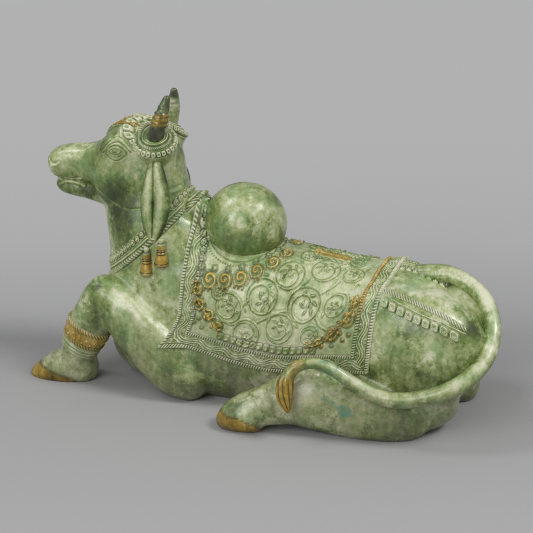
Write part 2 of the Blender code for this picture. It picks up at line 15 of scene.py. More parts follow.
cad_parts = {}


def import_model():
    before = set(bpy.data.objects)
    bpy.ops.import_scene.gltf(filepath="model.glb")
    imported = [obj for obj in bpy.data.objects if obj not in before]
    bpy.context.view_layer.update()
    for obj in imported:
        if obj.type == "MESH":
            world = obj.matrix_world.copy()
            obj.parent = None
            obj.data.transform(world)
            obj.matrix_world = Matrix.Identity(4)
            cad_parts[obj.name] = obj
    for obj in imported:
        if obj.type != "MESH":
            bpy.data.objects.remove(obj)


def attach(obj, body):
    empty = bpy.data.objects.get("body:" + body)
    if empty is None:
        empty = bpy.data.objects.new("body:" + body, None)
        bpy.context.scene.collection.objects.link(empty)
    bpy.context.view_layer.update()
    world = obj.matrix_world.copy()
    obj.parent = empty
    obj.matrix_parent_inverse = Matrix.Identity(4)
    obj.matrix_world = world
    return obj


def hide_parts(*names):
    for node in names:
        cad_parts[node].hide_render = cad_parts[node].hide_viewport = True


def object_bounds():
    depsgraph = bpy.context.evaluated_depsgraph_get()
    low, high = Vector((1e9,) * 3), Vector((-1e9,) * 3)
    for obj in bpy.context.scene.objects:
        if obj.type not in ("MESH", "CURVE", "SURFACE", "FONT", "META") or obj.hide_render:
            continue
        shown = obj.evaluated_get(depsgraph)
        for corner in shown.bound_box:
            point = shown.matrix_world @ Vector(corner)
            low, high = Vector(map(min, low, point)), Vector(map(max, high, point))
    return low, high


MM = 0.001
FRAME_SHIFT = (2.35, 14.65, 0.0)

# Skins: voxel sizes, and the smoothing that rounds the joins at a 2.6 mm voxel.
BODY_VOXEL = 1.7
HEAD_VOXEL = 0.72
UNDER_VOXEL = 2.0
MASS_ROUNDS = 26
CORE_ROUNDS = 9
ROUNDS_VOXEL = 2.6

# The plane of the collar, which parts the finely meshed head from the body.
COLLAR_CENTRE = Vector((-104.0, 0.0, 127.5))
COLLAR_NORMAL = Vector((-0.681, 0.0, 0.732))
COLLAR_SLOPE = Vector((0.732, 0.0, 0.681))
ACROSS = Vector((0, 1, 0))

HUMP_CENTRE = (-23.5, 0.0, 142.5)
HUMP_RADII = (34.7, 33.3, 34.0)

CLOTH_AXIS_Z = 55.0
CLOTH_LENGTH = 176.0
CLOTH_DROP = 110.0
CLOTH_CELLS = (341, 246)
CLOTH_FOLDS = (89, 56)
CLOTH_SKIRT = 3.0
# Edges: how far down from the ridge, x of the front edge and of the rear one.
# Hem: how far from the front edge to the rear one, degrees round the body.
CLOTH_EDGES = [
    (0, -63, 111), (0.35, -62.5, 108.5), (0.7, -63, 105), (0.9, -71, 103.5), (1, -79, 103),
]
CLOTH_HEM = [
    (0, 96), (0.1, 96.5), (0.2, 99.5), (0.4, 105.5), (0.52, 107), (0.63, 105), (0.8, 98.5), (1, 92),
]

# How much further forward the far horn and ear stand than the near ones.
HORN_LEAD = 4.0
EAR_LEAD = 9.0

# Camera: angle round the figure, height angle, distance and the width of the view.
CAMERA_TURN = 19.0
CAMERA_TILT = 20.0
CAMERA_DISTANCE = 1400.0
CAMERA_TARGET = (0.0, -15.0, 112.0)
CAMERA_VIEW = 17.735


def spline(stations, steps):
    """Catmull-Rom points through the stations, each a tuple of numbers."""
    rows = [list(r) for r in stations]
    found = []
    for i in range(len(rows) - 1):
        a = rows[max(i - 1, 0)]
        b, c = rows[i], rows[i + 1]
        d = rows[min(i + 2, len(rows) - 1)]
        for k in range(steps):
            t = k / steps
            found.append([
                0.5 * (2 * q + (r - p) * t + (2 * p - 5 * q + 4 * r - s) * t * t
                       + (3 * q - p - 3 * r + s) * t ** 3)
                for p, q, r, s in zip(a, b, c, d)
            ])
    found.append(rows[-1])
    return found


def unit(values):
    """Values held between 0 and 1."""
    return np.clip(values, 0, 1)


def bump(distance, width):
    """A soft hill, 1 at its middle."""
    return np.exp(-(distance / width) ** 2)


def hills(distance, places):
    """Soft hills side by side: each place is its middle and width."""
    return sum(bump(distance - middle, width) for middle, width in places)


def around(first, second, angle):
    """The way at an angle between two that stand square to each other."""
    return first * math.cos(angle) + second * math.sin(angle)


def path_frame(points, i, side=ACROSS):
    """Directions at a point of a path: ahead, across and up."""
    ahead = (points[min(i + 1, len(points) - 1)] - points[max(i - 1, 0)]).normalized()
    across = (side - ahead * ahead.dot(side)).normalized()
    return ahead, across, ahead.cross(across)


def ring(bm, centre, side, up, half_width, half_height, power, count):
    """Corners of a section between an ellipse (power 2) and a rectangle."""
    made = []
    for k in range(count):
        a = 2 * math.pi * k / count
        c, s = math.cos(a), math.sin(a)
        u = half_width * math.copysign(abs(c) ** (2 / power), c)
        v = half_height * math.copysign(abs(s) ** (2 / power), s)
        made.append(bm.verts.new(centre + side * u + up * v))
    return made


def bridge(bm, rings):
    """Skins a row of sections and closes both ends."""
    for a, b in zip(rings, rings[1:]):
        for k in range(len(a)):
            n = (k + 1) % len(a)
            bm.faces.new((a[k], a[n], b[n], b[k]))
    bm.faces.new(rings[0])
    bm.faces.new(list(reversed(rings[-1])))


def limb(stations, power=2.0, steps=4, count=28, cap=0.6):
    """A closed loft: stations are (x, y, z, half width, half height), with domed ends."""
    path = spline(stations, steps)
    bm = bmesh.new()
    rings = []
    points = [Vector(p[:3]) for p in path]
    for i, (*_, w, h) in enumerate(path):
        ahead, across, up = path_frame(points, i)
        ends = []
        if i in (0, len(path) - 1):
            reach = cap * min(w, h)
            sign = -1 if i == 0 else 1
            for f in (0.5, 0.87, 0.995):
                ends.append((points[i] + ahead * (sign * reach * f), math.sqrt(1 - f * f)))
        loops = [(points[i], 1.0)]
        if ends:
            loops = ends[::-1] + loops if i == 0 else loops + ends
        for centre, k in loops:
            rings.append(ring(bm, centre, across, up, w * k, h * k, power, count))
    bridge(bm, rings)
    return bm


def leg(stations, cap):
    return limb(stations, cap=cap, steps=6, count=40)


def column(stations, steps=6, count=48, power=2.2):
    """A closed loft of level sections: (z, x front, x back, half width)."""
    bm = bmesh.new()
    rings = []
    for z, front, back, half in spline(stations, steps):
        centre = Vector(((front + back) / 2, 0, z))
        rings.append(ring(bm, centre, Vector((1, 0, 0)), ACROSS, (back - front) / 2, half,
                          power, count))
    bridge(bm, rings)
    return bm


def barrel(stations, steps=6, count=56, power=2.3, cap=0.35):
    """A closed loft of upright sections: (x, z top, z bottom, half width, y)."""
    rows = [(x, y, (top + low) / 2, half, (top - low) / 2) for x, top, low, half, y in stations]
    return limb(rows, power=power, steps=steps, count=count, cap=cap)


def ball(centre, radii, turn=(0, 0, 0), segments=48, rings=32):
    """An ellipsoid, turned by degrees about X, then Y, then Z."""
    bm = bmesh.new()
    bmesh.ops.create_uvsphere(bm, u_segments=segments, v_segments=rings, radius=1)
    rot = Matrix.Identity(4)
    for angle, axis in zip(turn, "XYZ"):
        rot = Matrix.Rotation(math.radians(angle), 4, axis) @ rot
    scale = Matrix.Diagonal((*radii, 1))
    bmesh.ops.transform(bm, matrix=Matrix.Translation(centre) @ rot @ scale, verts=bm.verts)
    return bm


def torso():
    return barrel([
        (-130, 104, 22, 24, 4), (-119, 122, 0, 37, 2), (-99, 136, -12, 46, 0),
        (-70, 140, -16, 51, 0), (-40, 132, -16, 54, 0), (-10, 127, -16, 56, 0),
        (24, 124, -16, 57, 0), (55, 120, -16, 58, 0), (88, 118, -16, 59, 0),
        (108, 121, -16, 60, 0), (130, 122.5, -14, 58, 0), (146, 117, -2, 48, 2),
        (157, 106, 12, 35, 5), (166, 92, 27, 26, 7),
    ])


def withers():
    return ball((-66, 0, 150), (14, 20, 16), turn=(0, 14, 0))


def neck():
    return column([
        (222, -113, -97, 12), (212, -119, -87, 20), (195, -124, -79, 23), (178, -131, -76.5, 25),
        (164, -139, -72, 28), (150, -146, -64, 33), (136, -144.5, -48, 39), (122, -142.5, -38, 43),
        (104, -141.5, -32, 46), (84, -141, -30, 48), (60, -136, -40, 47), (36, -126, -50, 44),
    ])


def skull():
    return barrel([
        (-196, 188, 171, 10.5, 0), (-192, 192, 167.5, 14.5, 0), (-185, 194.5, 166, 16, 0),
        (-176, 196.5, 165, 15.5, 0), (-166, 198, 164, 16, 0), (-155, 200, 162, 18.5, 0),
        (-145, 204, 160, 22.5, 0), (-135, 211, 158, 25.5, 0), (-122, 221.5, 156, 26, 0),
        (-108, 226, 158, 24, 0), (-97, 224, 166, 21, 0), (-90, 216, 174, 18, 0),
    ], power=2.4, cap=0.4)


def jaw():
    return barrel([
        (-190, 168, 158.5, 9.5, 0), (-184, 168, 153.5, 12.5, 0), (-174, 168, 151.5, 14, 0),
        (-163, 167, 150.5, 15, 0), (-150, 167, 148, 17, 0), (-135, 168, 144.5, 19, 0),
        (-118, 170, 144, 20, 0), (-104, 172, 150, 18, 0),
    ], power=2.2, cap=0.5)


def face_masses(sign):
    return [
        ball((-126, sign * 15, 172), (27, 13, 25)),
        ball((-127, sign * 19, 201), (17, 8.5, 12)),
        ball((-187, sign * 9, 179), (9, 8, 8.5)),
    ]


def horn_axis(sign):
    """Base and direction of a horn's boss."""
    base = Vector((-95 - HORN_LEAD * max(sign, 0), sign * 17.5, 210.5))
    return base, Vector((0.08, sign * 0.42, 0.9)).normalized()


def horn_mound(sign):
    base, normal = horn_axis(sign)
    rows = [(-16, 14), (-5, 17), (0.5, 15.5), (3, 12)]
    return limb([(*(base + normal * d), r, r) for d, r in rows], count=40, cap=0.3)


def near_foreleg():
    forearm = leg([
        (-54, -46, 16, 17, 20), (-70, -48, 27, 18, 25), (-90, -48, 46, 17.5, 25),
        (-108, -46, 62, 17, 23), (-123, -43, 75, 16.5, 19.5), (-134, -42, 80, 16, 16.5),
    ], 0.9)
    cannon = leg([
        (-134.5, -42, 80, 16, 17), (-143, -41.5, 63, 16, 18), (-150.5, -41, 48, 15.5, 18),
        (-156, -40.5, 36, 15, 16.5), (-160.5, -40, 25, 14.5, 15.5), (-161.5, -39, 14, 15, 16),
    ], 0.4)
    hoof = leg([
        (-157, -34, 8, 16, 16), (-168, -37, 8.5, 17, 17.5), (-180, -39, 6, 16, 16.5),
        (-192, -39.5, 2.5, 14, 12), (-201, -39.5, 0, 10, 7),
    ], 0.7)
    return [forearm, cannon, hoof, ball((-133.5, -42, 80.5), (17, 16.5, 17.5))]


def far_foreleg():
    forearm = leg([
        (-60, 44, 22, 17, 22), (-84, 42, 22, 17, 20), (-108, 37, 20, 16, 17),
        (-126, 31, 17, 14.5, 15), (-137, 27, 14, 13, 13),
    ], 0.9)
    cannon = leg([
        (-134, 26, 11, 12, 11), (-118, 32, 9, 11.5, 11), (-100, 44, 9, 11.5, 11),
        (-86, 51, 8, 12, 11),
    ], 0.5)
    hoof = leg([
        (-88, 50, 8, 13, 11), (-74, 56, 8, 13.5, 12), (-62, 59, 7, 12, 10), (-53, 61, 4, 8, 6),
    ], 0.6)
    return [forearm, cannon, hoof]


def quarters():
    made = []
    for sign in (-1, 1):
        made.append(ball((-80, sign * 33, 76), (36, 18, 52), turn=(0, -14, 0)))
        made.append(ball((-62, sign * 40, 24), (25, 17, 26)))
    made.append(barrel([
        (62, 96, -4, 21, -37), (84, 106, -6, 25, -38), (104, 114, -8, 29, -38.5),
        (122, 119.5, -8, 33, -38), (140, 121, 4, 36, -36.5), (155, 117.5, 20, 36, -34),
        (169, 108, 33, 32.5, -31), (180, 97, 44, 26, -28), (185, 87, 54, 18, -26),
    ], power=2.25))
    made.append(barrel([
        (62, 96, -4, 21, 36), (84, 103, -6, 25, 36), (104, 108, -8, 28, 36),
        (120, 108, -8, 31, 35), (134, 106, -2, 33, 33), (147, 100, 6, 32, 30),
        (157, 90, 16, 28, 27), (165, 80, 28, 22, 25), (170, 70, 38, 15, 24),
    ], power=2.25))
    return made


def tail_web():
    """The metal left between the root of the tail and the rump."""
    return limb([
        (156, -3, 107, 7, 7), (168, -8, 102.5, 7, 8), (179, -16, 95, 7, 8), (186, -28, 82, 6, 7),
    ], cap=0.8)


def near_hindleg():
    shank = leg([
        (136, -56, 17, 20, 22), (118, -62, 19, 22, 25), (92, -68, 22, 21, 26),
        (66, -73, 27, 19, 26), (47, -78, 28, 16, 24), (33, -82, 24, 14.5, 19),
        (18, -85, 19, 14, 16), (6, -87, 14, 14.5, 15.5),
    ], 0.5)
    hoof = leg([
        (16, -87, 13, 15, 15), (5, -87, 12, 16, 15.5), (-4, -87, 8.5, 15, 13),
        (-12, -86.5, 4.5, 11, 8),
    ], 0.6)
    return [shank, hoof, ball((135, -50, 18), (18, 24, 23))]


def far_hindleg():
    shank = leg([
        (150, 38, 15, 18, 20), (124, 48, 18, 19, 22), (96, 52, 20, 18, 22),
        (70, 56, 20, 16, 19), (50, 60, 17, 14, 15), (34, 63, 13, 13, 13),
    ], 0.5)
    hoof = leg([
        (40, 62, 12, 13.5, 13), (28, 64, 11, 14, 13), (18, 65.5, 8, 13, 11), (8, 66, 4, 9, 6.5),
    ], 0.6)
    return [shank, hoof, ball((157, 31, 12), (15, 19, 19))]


def link(name, data):
    obj = bpy.data.objects.new(name, data)
    bpy.context.scene.collection.objects.link(obj)
    return obj


def add_object(name, bm):
    """An object made of a bmesh in millimetres."""
    bmesh.ops.recalc_face_normals(bm, faces=bm.faces)
    bmesh.ops.transform(bm, matrix=Matrix.Scale(MM, 4), verts=bm.verts)
    mesh = bpy.data.meshes.new(name)
    bm.to_mesh(mesh)
    bm.free()
    return link(name, mesh)


def add_into(whole, shape):
    """Adds a bmesh to another, and frees it."""
    mesh = bpy.data.meshes.new("shape")
    shape.to_mesh(mesh)
    whole.from_mesh(mesh)
    shape.free()
    bpy.data.meshes.remove(mesh)


def freeze(obj):
    """Turns an object's modifiers into its mesh."""
    bpy.context.view_layer.update()
    graph = bpy.context.evaluated_depsgraph_get()
    mesh = bpy.data.meshes.new_from_object(obj.evaluated_get(graph))
    obj.modifiers.clear()
    obj.data = mesh
    return obj


def fuse(name, shapes, voxel, rounds):
    """One closed skin over the shapes; rounds are those of a mesh at ROUNDS_VOXEL."""
    whole = bmesh.new()
    for shape in shapes:
        add_into(whole, shape)
    obj = add_object(name, whole)
    remesh = obj.modifiers.new("skin", "REMESH")
    remesh.mode = "VOXEL"
    remesh.voxel_size = voxel * MM
    smooth = obj.modifiers.new("soften", "SMOOTH")
    smooth.factor = 0.5
    smooth.iterations = round(rounds * (ROUNDS_VOXEL / voxel) ** 2)
    return freeze(obj)


def as_bmesh(obj, keep=False):
    bm = bmesh.new()
    bm.from_mesh(obj.data)
    bmesh.ops.transform(bm, matrix=Matrix.Scale(1 / MM, 4), verts=bm.verts)
    if not keep:
        bpy.data.objects.remove(obj)
    return bm


def surface(obj):
    """A tree to cast rays at, in millimetres."""
    bm = as_bmesh(obj, keep=True)
    tree = BVHTree.FromBMesh(bm)
    bm.free()
    return tree


def halve(bm, centre, normal, closed=True):
    """Keeps what lies on the normal's side of a plane, and closes the cut if asked."""
    geometry = bm.verts[:] + bm.edges[:] + bm.faces[:]
    cut = bmesh.ops.bisect_plane(bm, geom=geometry, plane_co=centre, plane_no=normal,
                                 clear_inner=True)
    if closed:
        edges = [e for e in cut["geom_cut"] if isinstance(e, bmesh.types.BMEdge)]
        bmesh.ops.holes_fill(bm, edges=edges)
    return bm


def cast(tree, origin, outward, reach=130.0):
    """The outermost point of the surface from the origin in one direction."""
    outward = Vector(outward).normalized()
    hit = tree.ray_cast(Vector(origin) + outward * reach, -outward, reach)[0]
    return Vector(origin) if hit is None else hit


def between(table, at):
    """The values of a table's rows at a place, between the two rows beside it."""
    for low, high in zip(table, table[1:]):
        if at <= high[0]:
            t = max(0.0, (at - low[0]) / (high[0] - low[0]))
            return [p + (q - p) * t for p, q in zip(low[1:], high[1:])]
    return list(table[-1][1:])


def read_points(mesh, what="co"):
    flat = np.empty(len(mesh.vertices) * 3, np.float32)
    mesh.vertices.foreach_get(what, flat)
    return flat.reshape(-1, 3).astype(float)


def write_points(mesh, points):
    mesh.vertices.foreach_set("co", points.astype(np.float32).ravel())
    mesh.update()


def tint(obj, pale, gold=0.0, dark=0.0, teal=0.0):
    """What the metal reads at each vertex: cream (1) or deep green (-1), with painted light in
    places,
    bare brass, and dark: painted shade in gaps and holes, and the horns' own dark.
    """
    count = len(obj.data.vertices)
    for name, value in (("pale", pale), ("gold", gold), ("dark", dark), ("teal", teal)):
        layer = obj.data.attributes.new(name, "FLOAT", "POINT")
        values = np.broadcast_to(np.asarray(value, np.float32).ravel(), count)
        layer.data.foreach_set("value", np.ascontiguousarray(values))


# Where the wash is paler or the patina deeper, alike on both sides: place, radius, amount.
# Some are painted light: painted highlights on the muzzle top, the ridge of the forearm,
# the hump's top and right side, the rump by the tail's root and the shank by the tuft;
# painted shade under the forearm, on the hump's left side and lower front, and under the near
# shank.
WASHES_AND_PAINTED_LIGHT = [
    ((-137, 25, 188), 8, 0.45), ((-112, 25, 188), 9, 0.4), ((-122, 27, 177), 12, -0.4),
    ((-124, 27, 163), 14, -0.55), ((-166, 14, 191), 11, 0.3), ((-190, 12, 178), 9, 0.4),
    ((-160, 16, 174), 8, 0.25), ((-170, 12, 157), 12, -0.45), ((-145, 16, 160), 12, -0.35),
    ((-157, 14, 163), 10, -0.5), ((-80, 12, 185), 15, 0.45), ((-108, 6, 224), 17, 0.5),
    ((-125, 30, 146), 14, -0.45), ((-124, 34, 130), 13, -0.4), ((-106, 40, 124), 12, 0.1),
    ((-82, 48, 96), 22, 0.4), ((-67, 51, 68), 16, 0.25),
    ((-106, 54, 84), 15, 0.6), ((-75, 61, 54), 16, 0.25), ((-140, 56, 60), 12, -0.4),
    ((-172, 50, 22), 14, 0.45), ((-51, 60, 22), 24, -0.25), ((-18, 48, 14), 26, -0.4),
    ((128, 36, 117), 20, 0.45), ((121, 64, 96), 15, 0.05), ((130, 70, 80), 13, -0.15),
    ((155, 66, 84), 15, 0.35), ((110, 70, 70), 12, 0.3), ((182, 48, 94), 9, -0.4),
    ((172, 63, 56), 15, -0.35), ((60, 86, 42), 28, 0.35), ((100, 86, 24), 22, 0.15),
    ((12, 98, 22), 16, -0.05), ((-22, 10, 176), 19, 0.65), ((-12, 26, 160), 14, 0.45),
    ((-34, 32, 134), 15, -0.4), ((-6, 28, 128), 12, -0.2), ((-24, 33, 116), 10, 0.4),
    ((150, 32, 112), 14, 0.7), ((140, 68, 88), 15, 0.3), ((126, 76, 64), 13, 0.25),
    ((165, 68, 76), 12, 0.25), ((50, 90, 44), 10, 0.45), ((133, 84, 12), 14, -0.5),
    ((4, 14, 150), 15, 0.6), ((-46, 20, 156), 12, -0.6), ((165, 22, 106), 12, 0.7),
    ((58, 90, 34), 9, 0.5), ((-60, 60, 38), 14, 0.35), ((134, 8, 122), 12, 0.35),
    ((-114, 26, 160), 10, -0.3), ((-160, 14, 160), 10, -0.3), ((-180, 13, 172), 9, -0.3),
]
TEAL_SPOTS = [
    (74, -90, 36), (80, -88, 32), (86, -89, 30), (92, -89, 28), (96, -88, 24), (88, -89, 24),
]
TEAL_RADIUS = 3.4


def spot(points, place, radius):
    return bump(np.linalg.norm(points - place, axis=1), radius)


def washes_and_painted_light(points):
    """The cream wash laid on by hand, with painted highlights and shade, as a number for each
    point.
    """
    mirrored = points.copy()
    mirrored[:, 1] = np.abs(points[:, 1])
    return sum(amount * spot(mirrored, place, radius) for place, radius, amount in WASHES_AND_PAINTED_LIGHT)


def teal_spots(points):
    return unit(sum(spot(points, place, TEAL_RADIUS) for place in TEAL_SPOTS))


def smoothed(mesh, values, rounds):
    """Values of the vertices, each averaged with its neighbours again and again."""
    ends = np.empty(len(mesh.edges) * 2, np.int32)
    mesh.edges.foreach_get("vertices", ends)
    a, b = ends.reshape(-1, 2).T
    count = len(mesh.vertices)
    links = np.bincount(a, minlength=count) + np.bincount(b, minlength=count)
    links = np.maximum(links, 1)
    for _ in range(rounds):
        for k in range(values.shape[1]):
            column_k = values[:, k]
            total = np.bincount(a, column_k[b], count) + np.bincount(b, column_k[a], count)
            values[:, k] = 0.5 * column_k + 0.5 * total / links
    return values


def raised(mesh, rounds, scale):
    """How far each vertex stands out (above 0) or lies deep (below 0), from -1 to 1."""
    points = read_points(mesh) / MM
    normals = read_points(mesh, "normal")
    away = points - smoothed(mesh, points.copy(), rounds)
    return np.clip((away * normals).sum(1) / scale, -1, 1)


FAR_AWAY = 99.0
NEARBY = 8.0


def path_distance(points, path):
    """Distance from each point to a path of samples, and FAR_AWAY where it isn't nearby."""
    path = np.asarray(path, float)
    near = np.full(len(points), FAR_AWAY)
    low, high = path.min(0) - NEARBY, path.max(0) + NEARBY
    inside = np.nonzero(((points > low) & (points < high)).all(1))[0]
    if len(inside) == 0:
        return near
    best = np.full(len(inside), 1e9)
    start, step = path[:-1], path[1:] - path[:-1]
    for p, d in zip(start, step):
        away = points[inside] - p
        along = unit(away @ d / max(d @ d, 1e-9))
        gap = away - along[:, None] * d
        best = np.minimum(best, (gap * gap).sum(1))
    near[inside] = np.sqrt(best)
    return near


def side_path(tree, stations, sign):
    """A path drawn on the skin as seen from the side: stations are (x, z)."""
    return [cast(tree, (x, 0, z), (0, sign, 0)) for x, z in spline(stations, 6)]


def side_lines(points, tree, lines, sign):
    """Height of lines drawn on one side: each is stations, width, height, edge groove."""
    relief = np.zeros(len(points))
    for stations, width, height, edge in lines:
        gap = path_distance(points, side_path(tree, stations, sign))
        relief += height * bump(gap, width) - edge * bump(gap - 2.0 * width, 0.8 * width)
    return relief


# Lines of the face, seen from the side: stations, width, height, edge groove.
EYE_LIDS = [(-136.5, 199.5), (-131.5, 204.5), (-126.5, 206.6), (-121.5, 205), (-117.5, 201),
            (-120.5, 197), (-124.5, 194.2), (-129, 194), (-133, 196), (-136.5, 199.5)]
EYE_RIM = [(-132.6, 201), (-129.5, 203.4), (-127, 204), (-124.5, 203.5), (-121.6, 201.8),
           (-124.5, 199.4), (-127, 198.7), (-129.5, 199.1), (-132.6, 201)]
BROW_TOP = [(-140, 200.5), (-135, 206.5), (-130.5, 210.8), (-126, 212.4), (-121.5, 211),
            (-117, 207.6), (-113.5, 204.2), (-110.5, 202)]
BROW_LOW = [(-139, 198.6), (-134, 204.4), (-129.5, 208.2), (-125.5, 209.4), (-121.3, 208),
            (-117.2, 204.6), (-114, 201)]
FACE_LINES = [
    (EYE_LIDS, 0.65, 0.55, 0.3), (EYE_RIM, 0.55, 0.5, 0.4), (BROW_TOP, 0.65, 0.6, 0.3),
    (BROW_LOW, 0.6, 0.55, 0.3),
    ([(-198, 190), (-196.5, 185.5), (-192.5, 182.2), (-187.5, 181.6), (-184, 183.8)],
     0.95, -0.9, -0.3),
    ([(-203, 172.5), (-197, 172.2), (-191, 171.6), (-185, 170), (-179, 169), (-172, 169.2),
      (-165, 171)], 0.8, -0.8, -0.4),
    ([(-186, 163), (-181, 165.4), (-175, 166), (-168, 165), (-163, 163.6)], 1.3, -0.7, -0.2),
    ([(-152, 169), (-144, 164.5), (-138, 160), (-130, 156.3), (-121, 154.3), (-112, 154),
      (-103, 156), (-97, 159)], 0.9, -0.55, 0.0),
    ([(-93, 165), (-84, 169.5), (-77, 171.5)], 1.5, -0.35, -0.3),
]


def carve_face(obj, tree):
    """Lines and eyeballs of the face, and its tones."""
    points = read_points(obj.data) / MM
    normals = read_points(obj.data, "normal")
    relief = np.zeros(len(points))
    for sign in (-1, 1):
        facing = unit(normals[:, 1] * sign * 3 + 0.4)
        relief += side_lines(points, tree, FACE_LINES, sign) * facing
        pupil = cast(tree, (-127.2, 0, 201.3), (0, sign, 0))
        gap = np.linalg.norm(points - np.array(pupil), axis=1)
        relief += 0.9 * unit(1 - (gap / 3.4) ** 2) + 0.5 * bump(gap, 1.2)
    points += normals * relief[:, None]
    write_points(obj.data, points * MM)
    out = raised(obj.data, 26, 0.55)
    # The washes carry painted highlights and shade as well as the cream wash.
    pale = washes_and_painted_light(points) + 0.95 * unit(-out) - 0.45 * unit(out)
    tint(obj, pale)


def cut_head(core_parts):
    """The head and throat as one finely meshed skin, down to the collar."""
    low = COLLAR_CENTRE - COLLAR_NORMAL * 16
    above = [halve(bm, low, COLLAR_NORMAL) for bm in core_parts]
    soft = above + [skull(), jaw()]
    for sign in (-1, 1):
        soft += face_masses(sign) + [horn_mound(sign)]
    head = fuse("head", soft, HEAD_VOXEL, CORE_ROUNDS)
    seam = COLLAR_CENTRE - COLLAR_NORMAL * 5
    return add_object("head", halve(as_bmesh(head), seam, COLLAR_NORMAL, closed=False))


def tuck(obj, centre, normal, depth, reach):
    """Draws the skin in beyond a plane, so that it ends under its neighbour."""
    points = read_points(obj.data) / MM
    normals = read_points(obj.data, "normal")
    beyond = (points - np.array(centre)) @ np.array(normal)
    pull = unit(beyond / reach) * depth
    write_points(obj.data, (points - normals * pull[:, None]) * MM)


# Folds and creases of limbs, seen from the near side: stations, width, height, edge.
BODY_LINES = [
    ([(-166, 33), (-163.5, 24), (-160, 16), (-154, 9)], 1.8, -1.1, -0.5),
    ([(12, 38), (19, 33), (25, 25), (27, 15)], 1.2, -0.6, -0.5),
    ([(19, 41), (27, 35), (33, 26), (35, 16)], 1.1, -0.35, -0.3),
    ([(-106, 72), (-99, 60), (-90, 47), (-82, 38)], 3.4, -1.2, 0.0),
    ([(-121, 95), (-106, 83), (-86, 64), (-72, 52)], 5.0, 1.3, 0.0),
    ([(46, 49), (53, 53), (60, 50.5), (67, 53), (75, 50), (84, 52.5), (92, 47)], 1.6, 1.1, 0.9),
]


def carve_body(obj, tree):
    """Folds of the near limbs, the flat underside and the tones of the body,
    with painted shade where it meets the floor.
    """
    points = read_points(obj.data) / MM
    normals = read_points(obj.data, "normal")
    facing = unit(-normals[:, 1] * 3 + 0.6)
    relief = side_lines(points, tree, BODY_LINES, -1) * facing
    points += normals * relief[:, None]
    points[:, 2] = np.maximum(points[:, 2], 0)
    write_points(obj.data, points * MM)
    out = raised(obj.data, 24, 1.5)
    # The washes carry painted highlights and shade as well as the cream wash.
    pale = washes_and_painted_light(points) + 0.35 * unit(-out) - 0.2 * unit(-relief)
    # Painted shade: the skin is darker within 9 mm of the floor, where it meets the ground.
    under = unit((9 - points[:, 2]) / 9) * 0.5
    gold = hoof_gold(points)
    tint(obj, pale - under, gold, 2.6 * gold * (1 - gold), teal_spots(points))


def hoof_gold(points):
    """Bare brass along the lower and front edges of the near hooves."""
    x, y, z = points.T
    fore = unit((9.5 + (-178 - x) * 0.3 - z) / 3) * unit((-158 - x) / 5)
    fore *= unit((-4 - y) / 4)
    rim = np.interp(x, [-12, 6, 18, 24], [16.5, 15, 10, 3])
    hind = unit((rim - z) / 2) * unit((24 - x) / 4) * (x > -40)
    hind *= unit((-62 - y) / 5)
    return unit(np.maximum(fore, hind))


def grid_object(name, points, closed=False, outward=None):
    """A sheet of quads over rows of points, in millimetres, with its faces turned outward."""
    rows, columns, _ = points.shape
    index = np.arange(rows * columns).reshape(rows, columns)
    low, high = index[:-1], index[1:]
    if closed:
        low, high = index, np.roll(index, -1, 0)
    quads = np.stack([low[:, :-1], high[:, :-1], high[:, 1:], low[:, 1:]], -1).reshape(-1, 4)
    if outward is None:
        outward = points - points.mean(1, keepdims=True)
    flat, way = points.reshape(-1, 3), outward.reshape(-1, 3)
    a, b, d = flat[quads[:, 0]], flat[quads[:, 1]], flat[quads[:, 3]]
    if (np.cross(b - a, d - a) * way[quads[:, 0]]).sum() < 0:
        quads = quads[:, ::-1]
    mesh = bpy.data.meshes.new(name)
    mesh.vertices.add(rows * columns)
    mesh.vertices.foreach_set("co", (flat * MM).astype(np.float32).ravel())
    mesh.loops.add(len(quads) * 4)
    mesh.loops.foreach_set("vertex_index", quads.ravel().astype(np.int32))
    mesh.polygons.add(len(quads))
    mesh.polygons.foreach_set("loop_start", np.arange(0, len(quads) * 4, 4, dtype=np.int32))
    mesh.update(calc_edges=True)
    mesh.validate()
    return link(name, mesh)


def refine(count, fine):
    """Catmull-Rom weights that turn count rows into the rows asked for."""
    weights = np.zeros((len(fine), count))
    for row, at in enumerate(fine):
        i = min(int(at), count - 2)
        t = at - i
        parts = (-0.5 * t + t * t - 0.5 * t ** 3, 1 - 2.5 * t * t + 1.5 * t ** 3,
                 0.5 * t + 2 * t * t - 1.5 * t ** 3, -0.5 * t * t + 0.5 * t ** 3)
        for k, w in zip((i - 1, i, i + 1, i + 2), parts):
            weights[row, min(max(k, 0), count - 1)] += w
    return weights


def cloth_point(tree, a, b):
    """Where the cloth lies: a runs front to rear, b from the near hem (-1) to the far one (1)."""
    front, rear = between(CLOTH_EDGES, abs(b))
    angle = b * math.radians(between(CLOTH_HEM, a)[0])
    outward = Vector((0, math.sin(angle), math.cos(angle)))
    origin = Vector((front + (rear - front) * a, 0, CLOTH_AXIS_Z))
    return cast(tree, origin, outward), outward


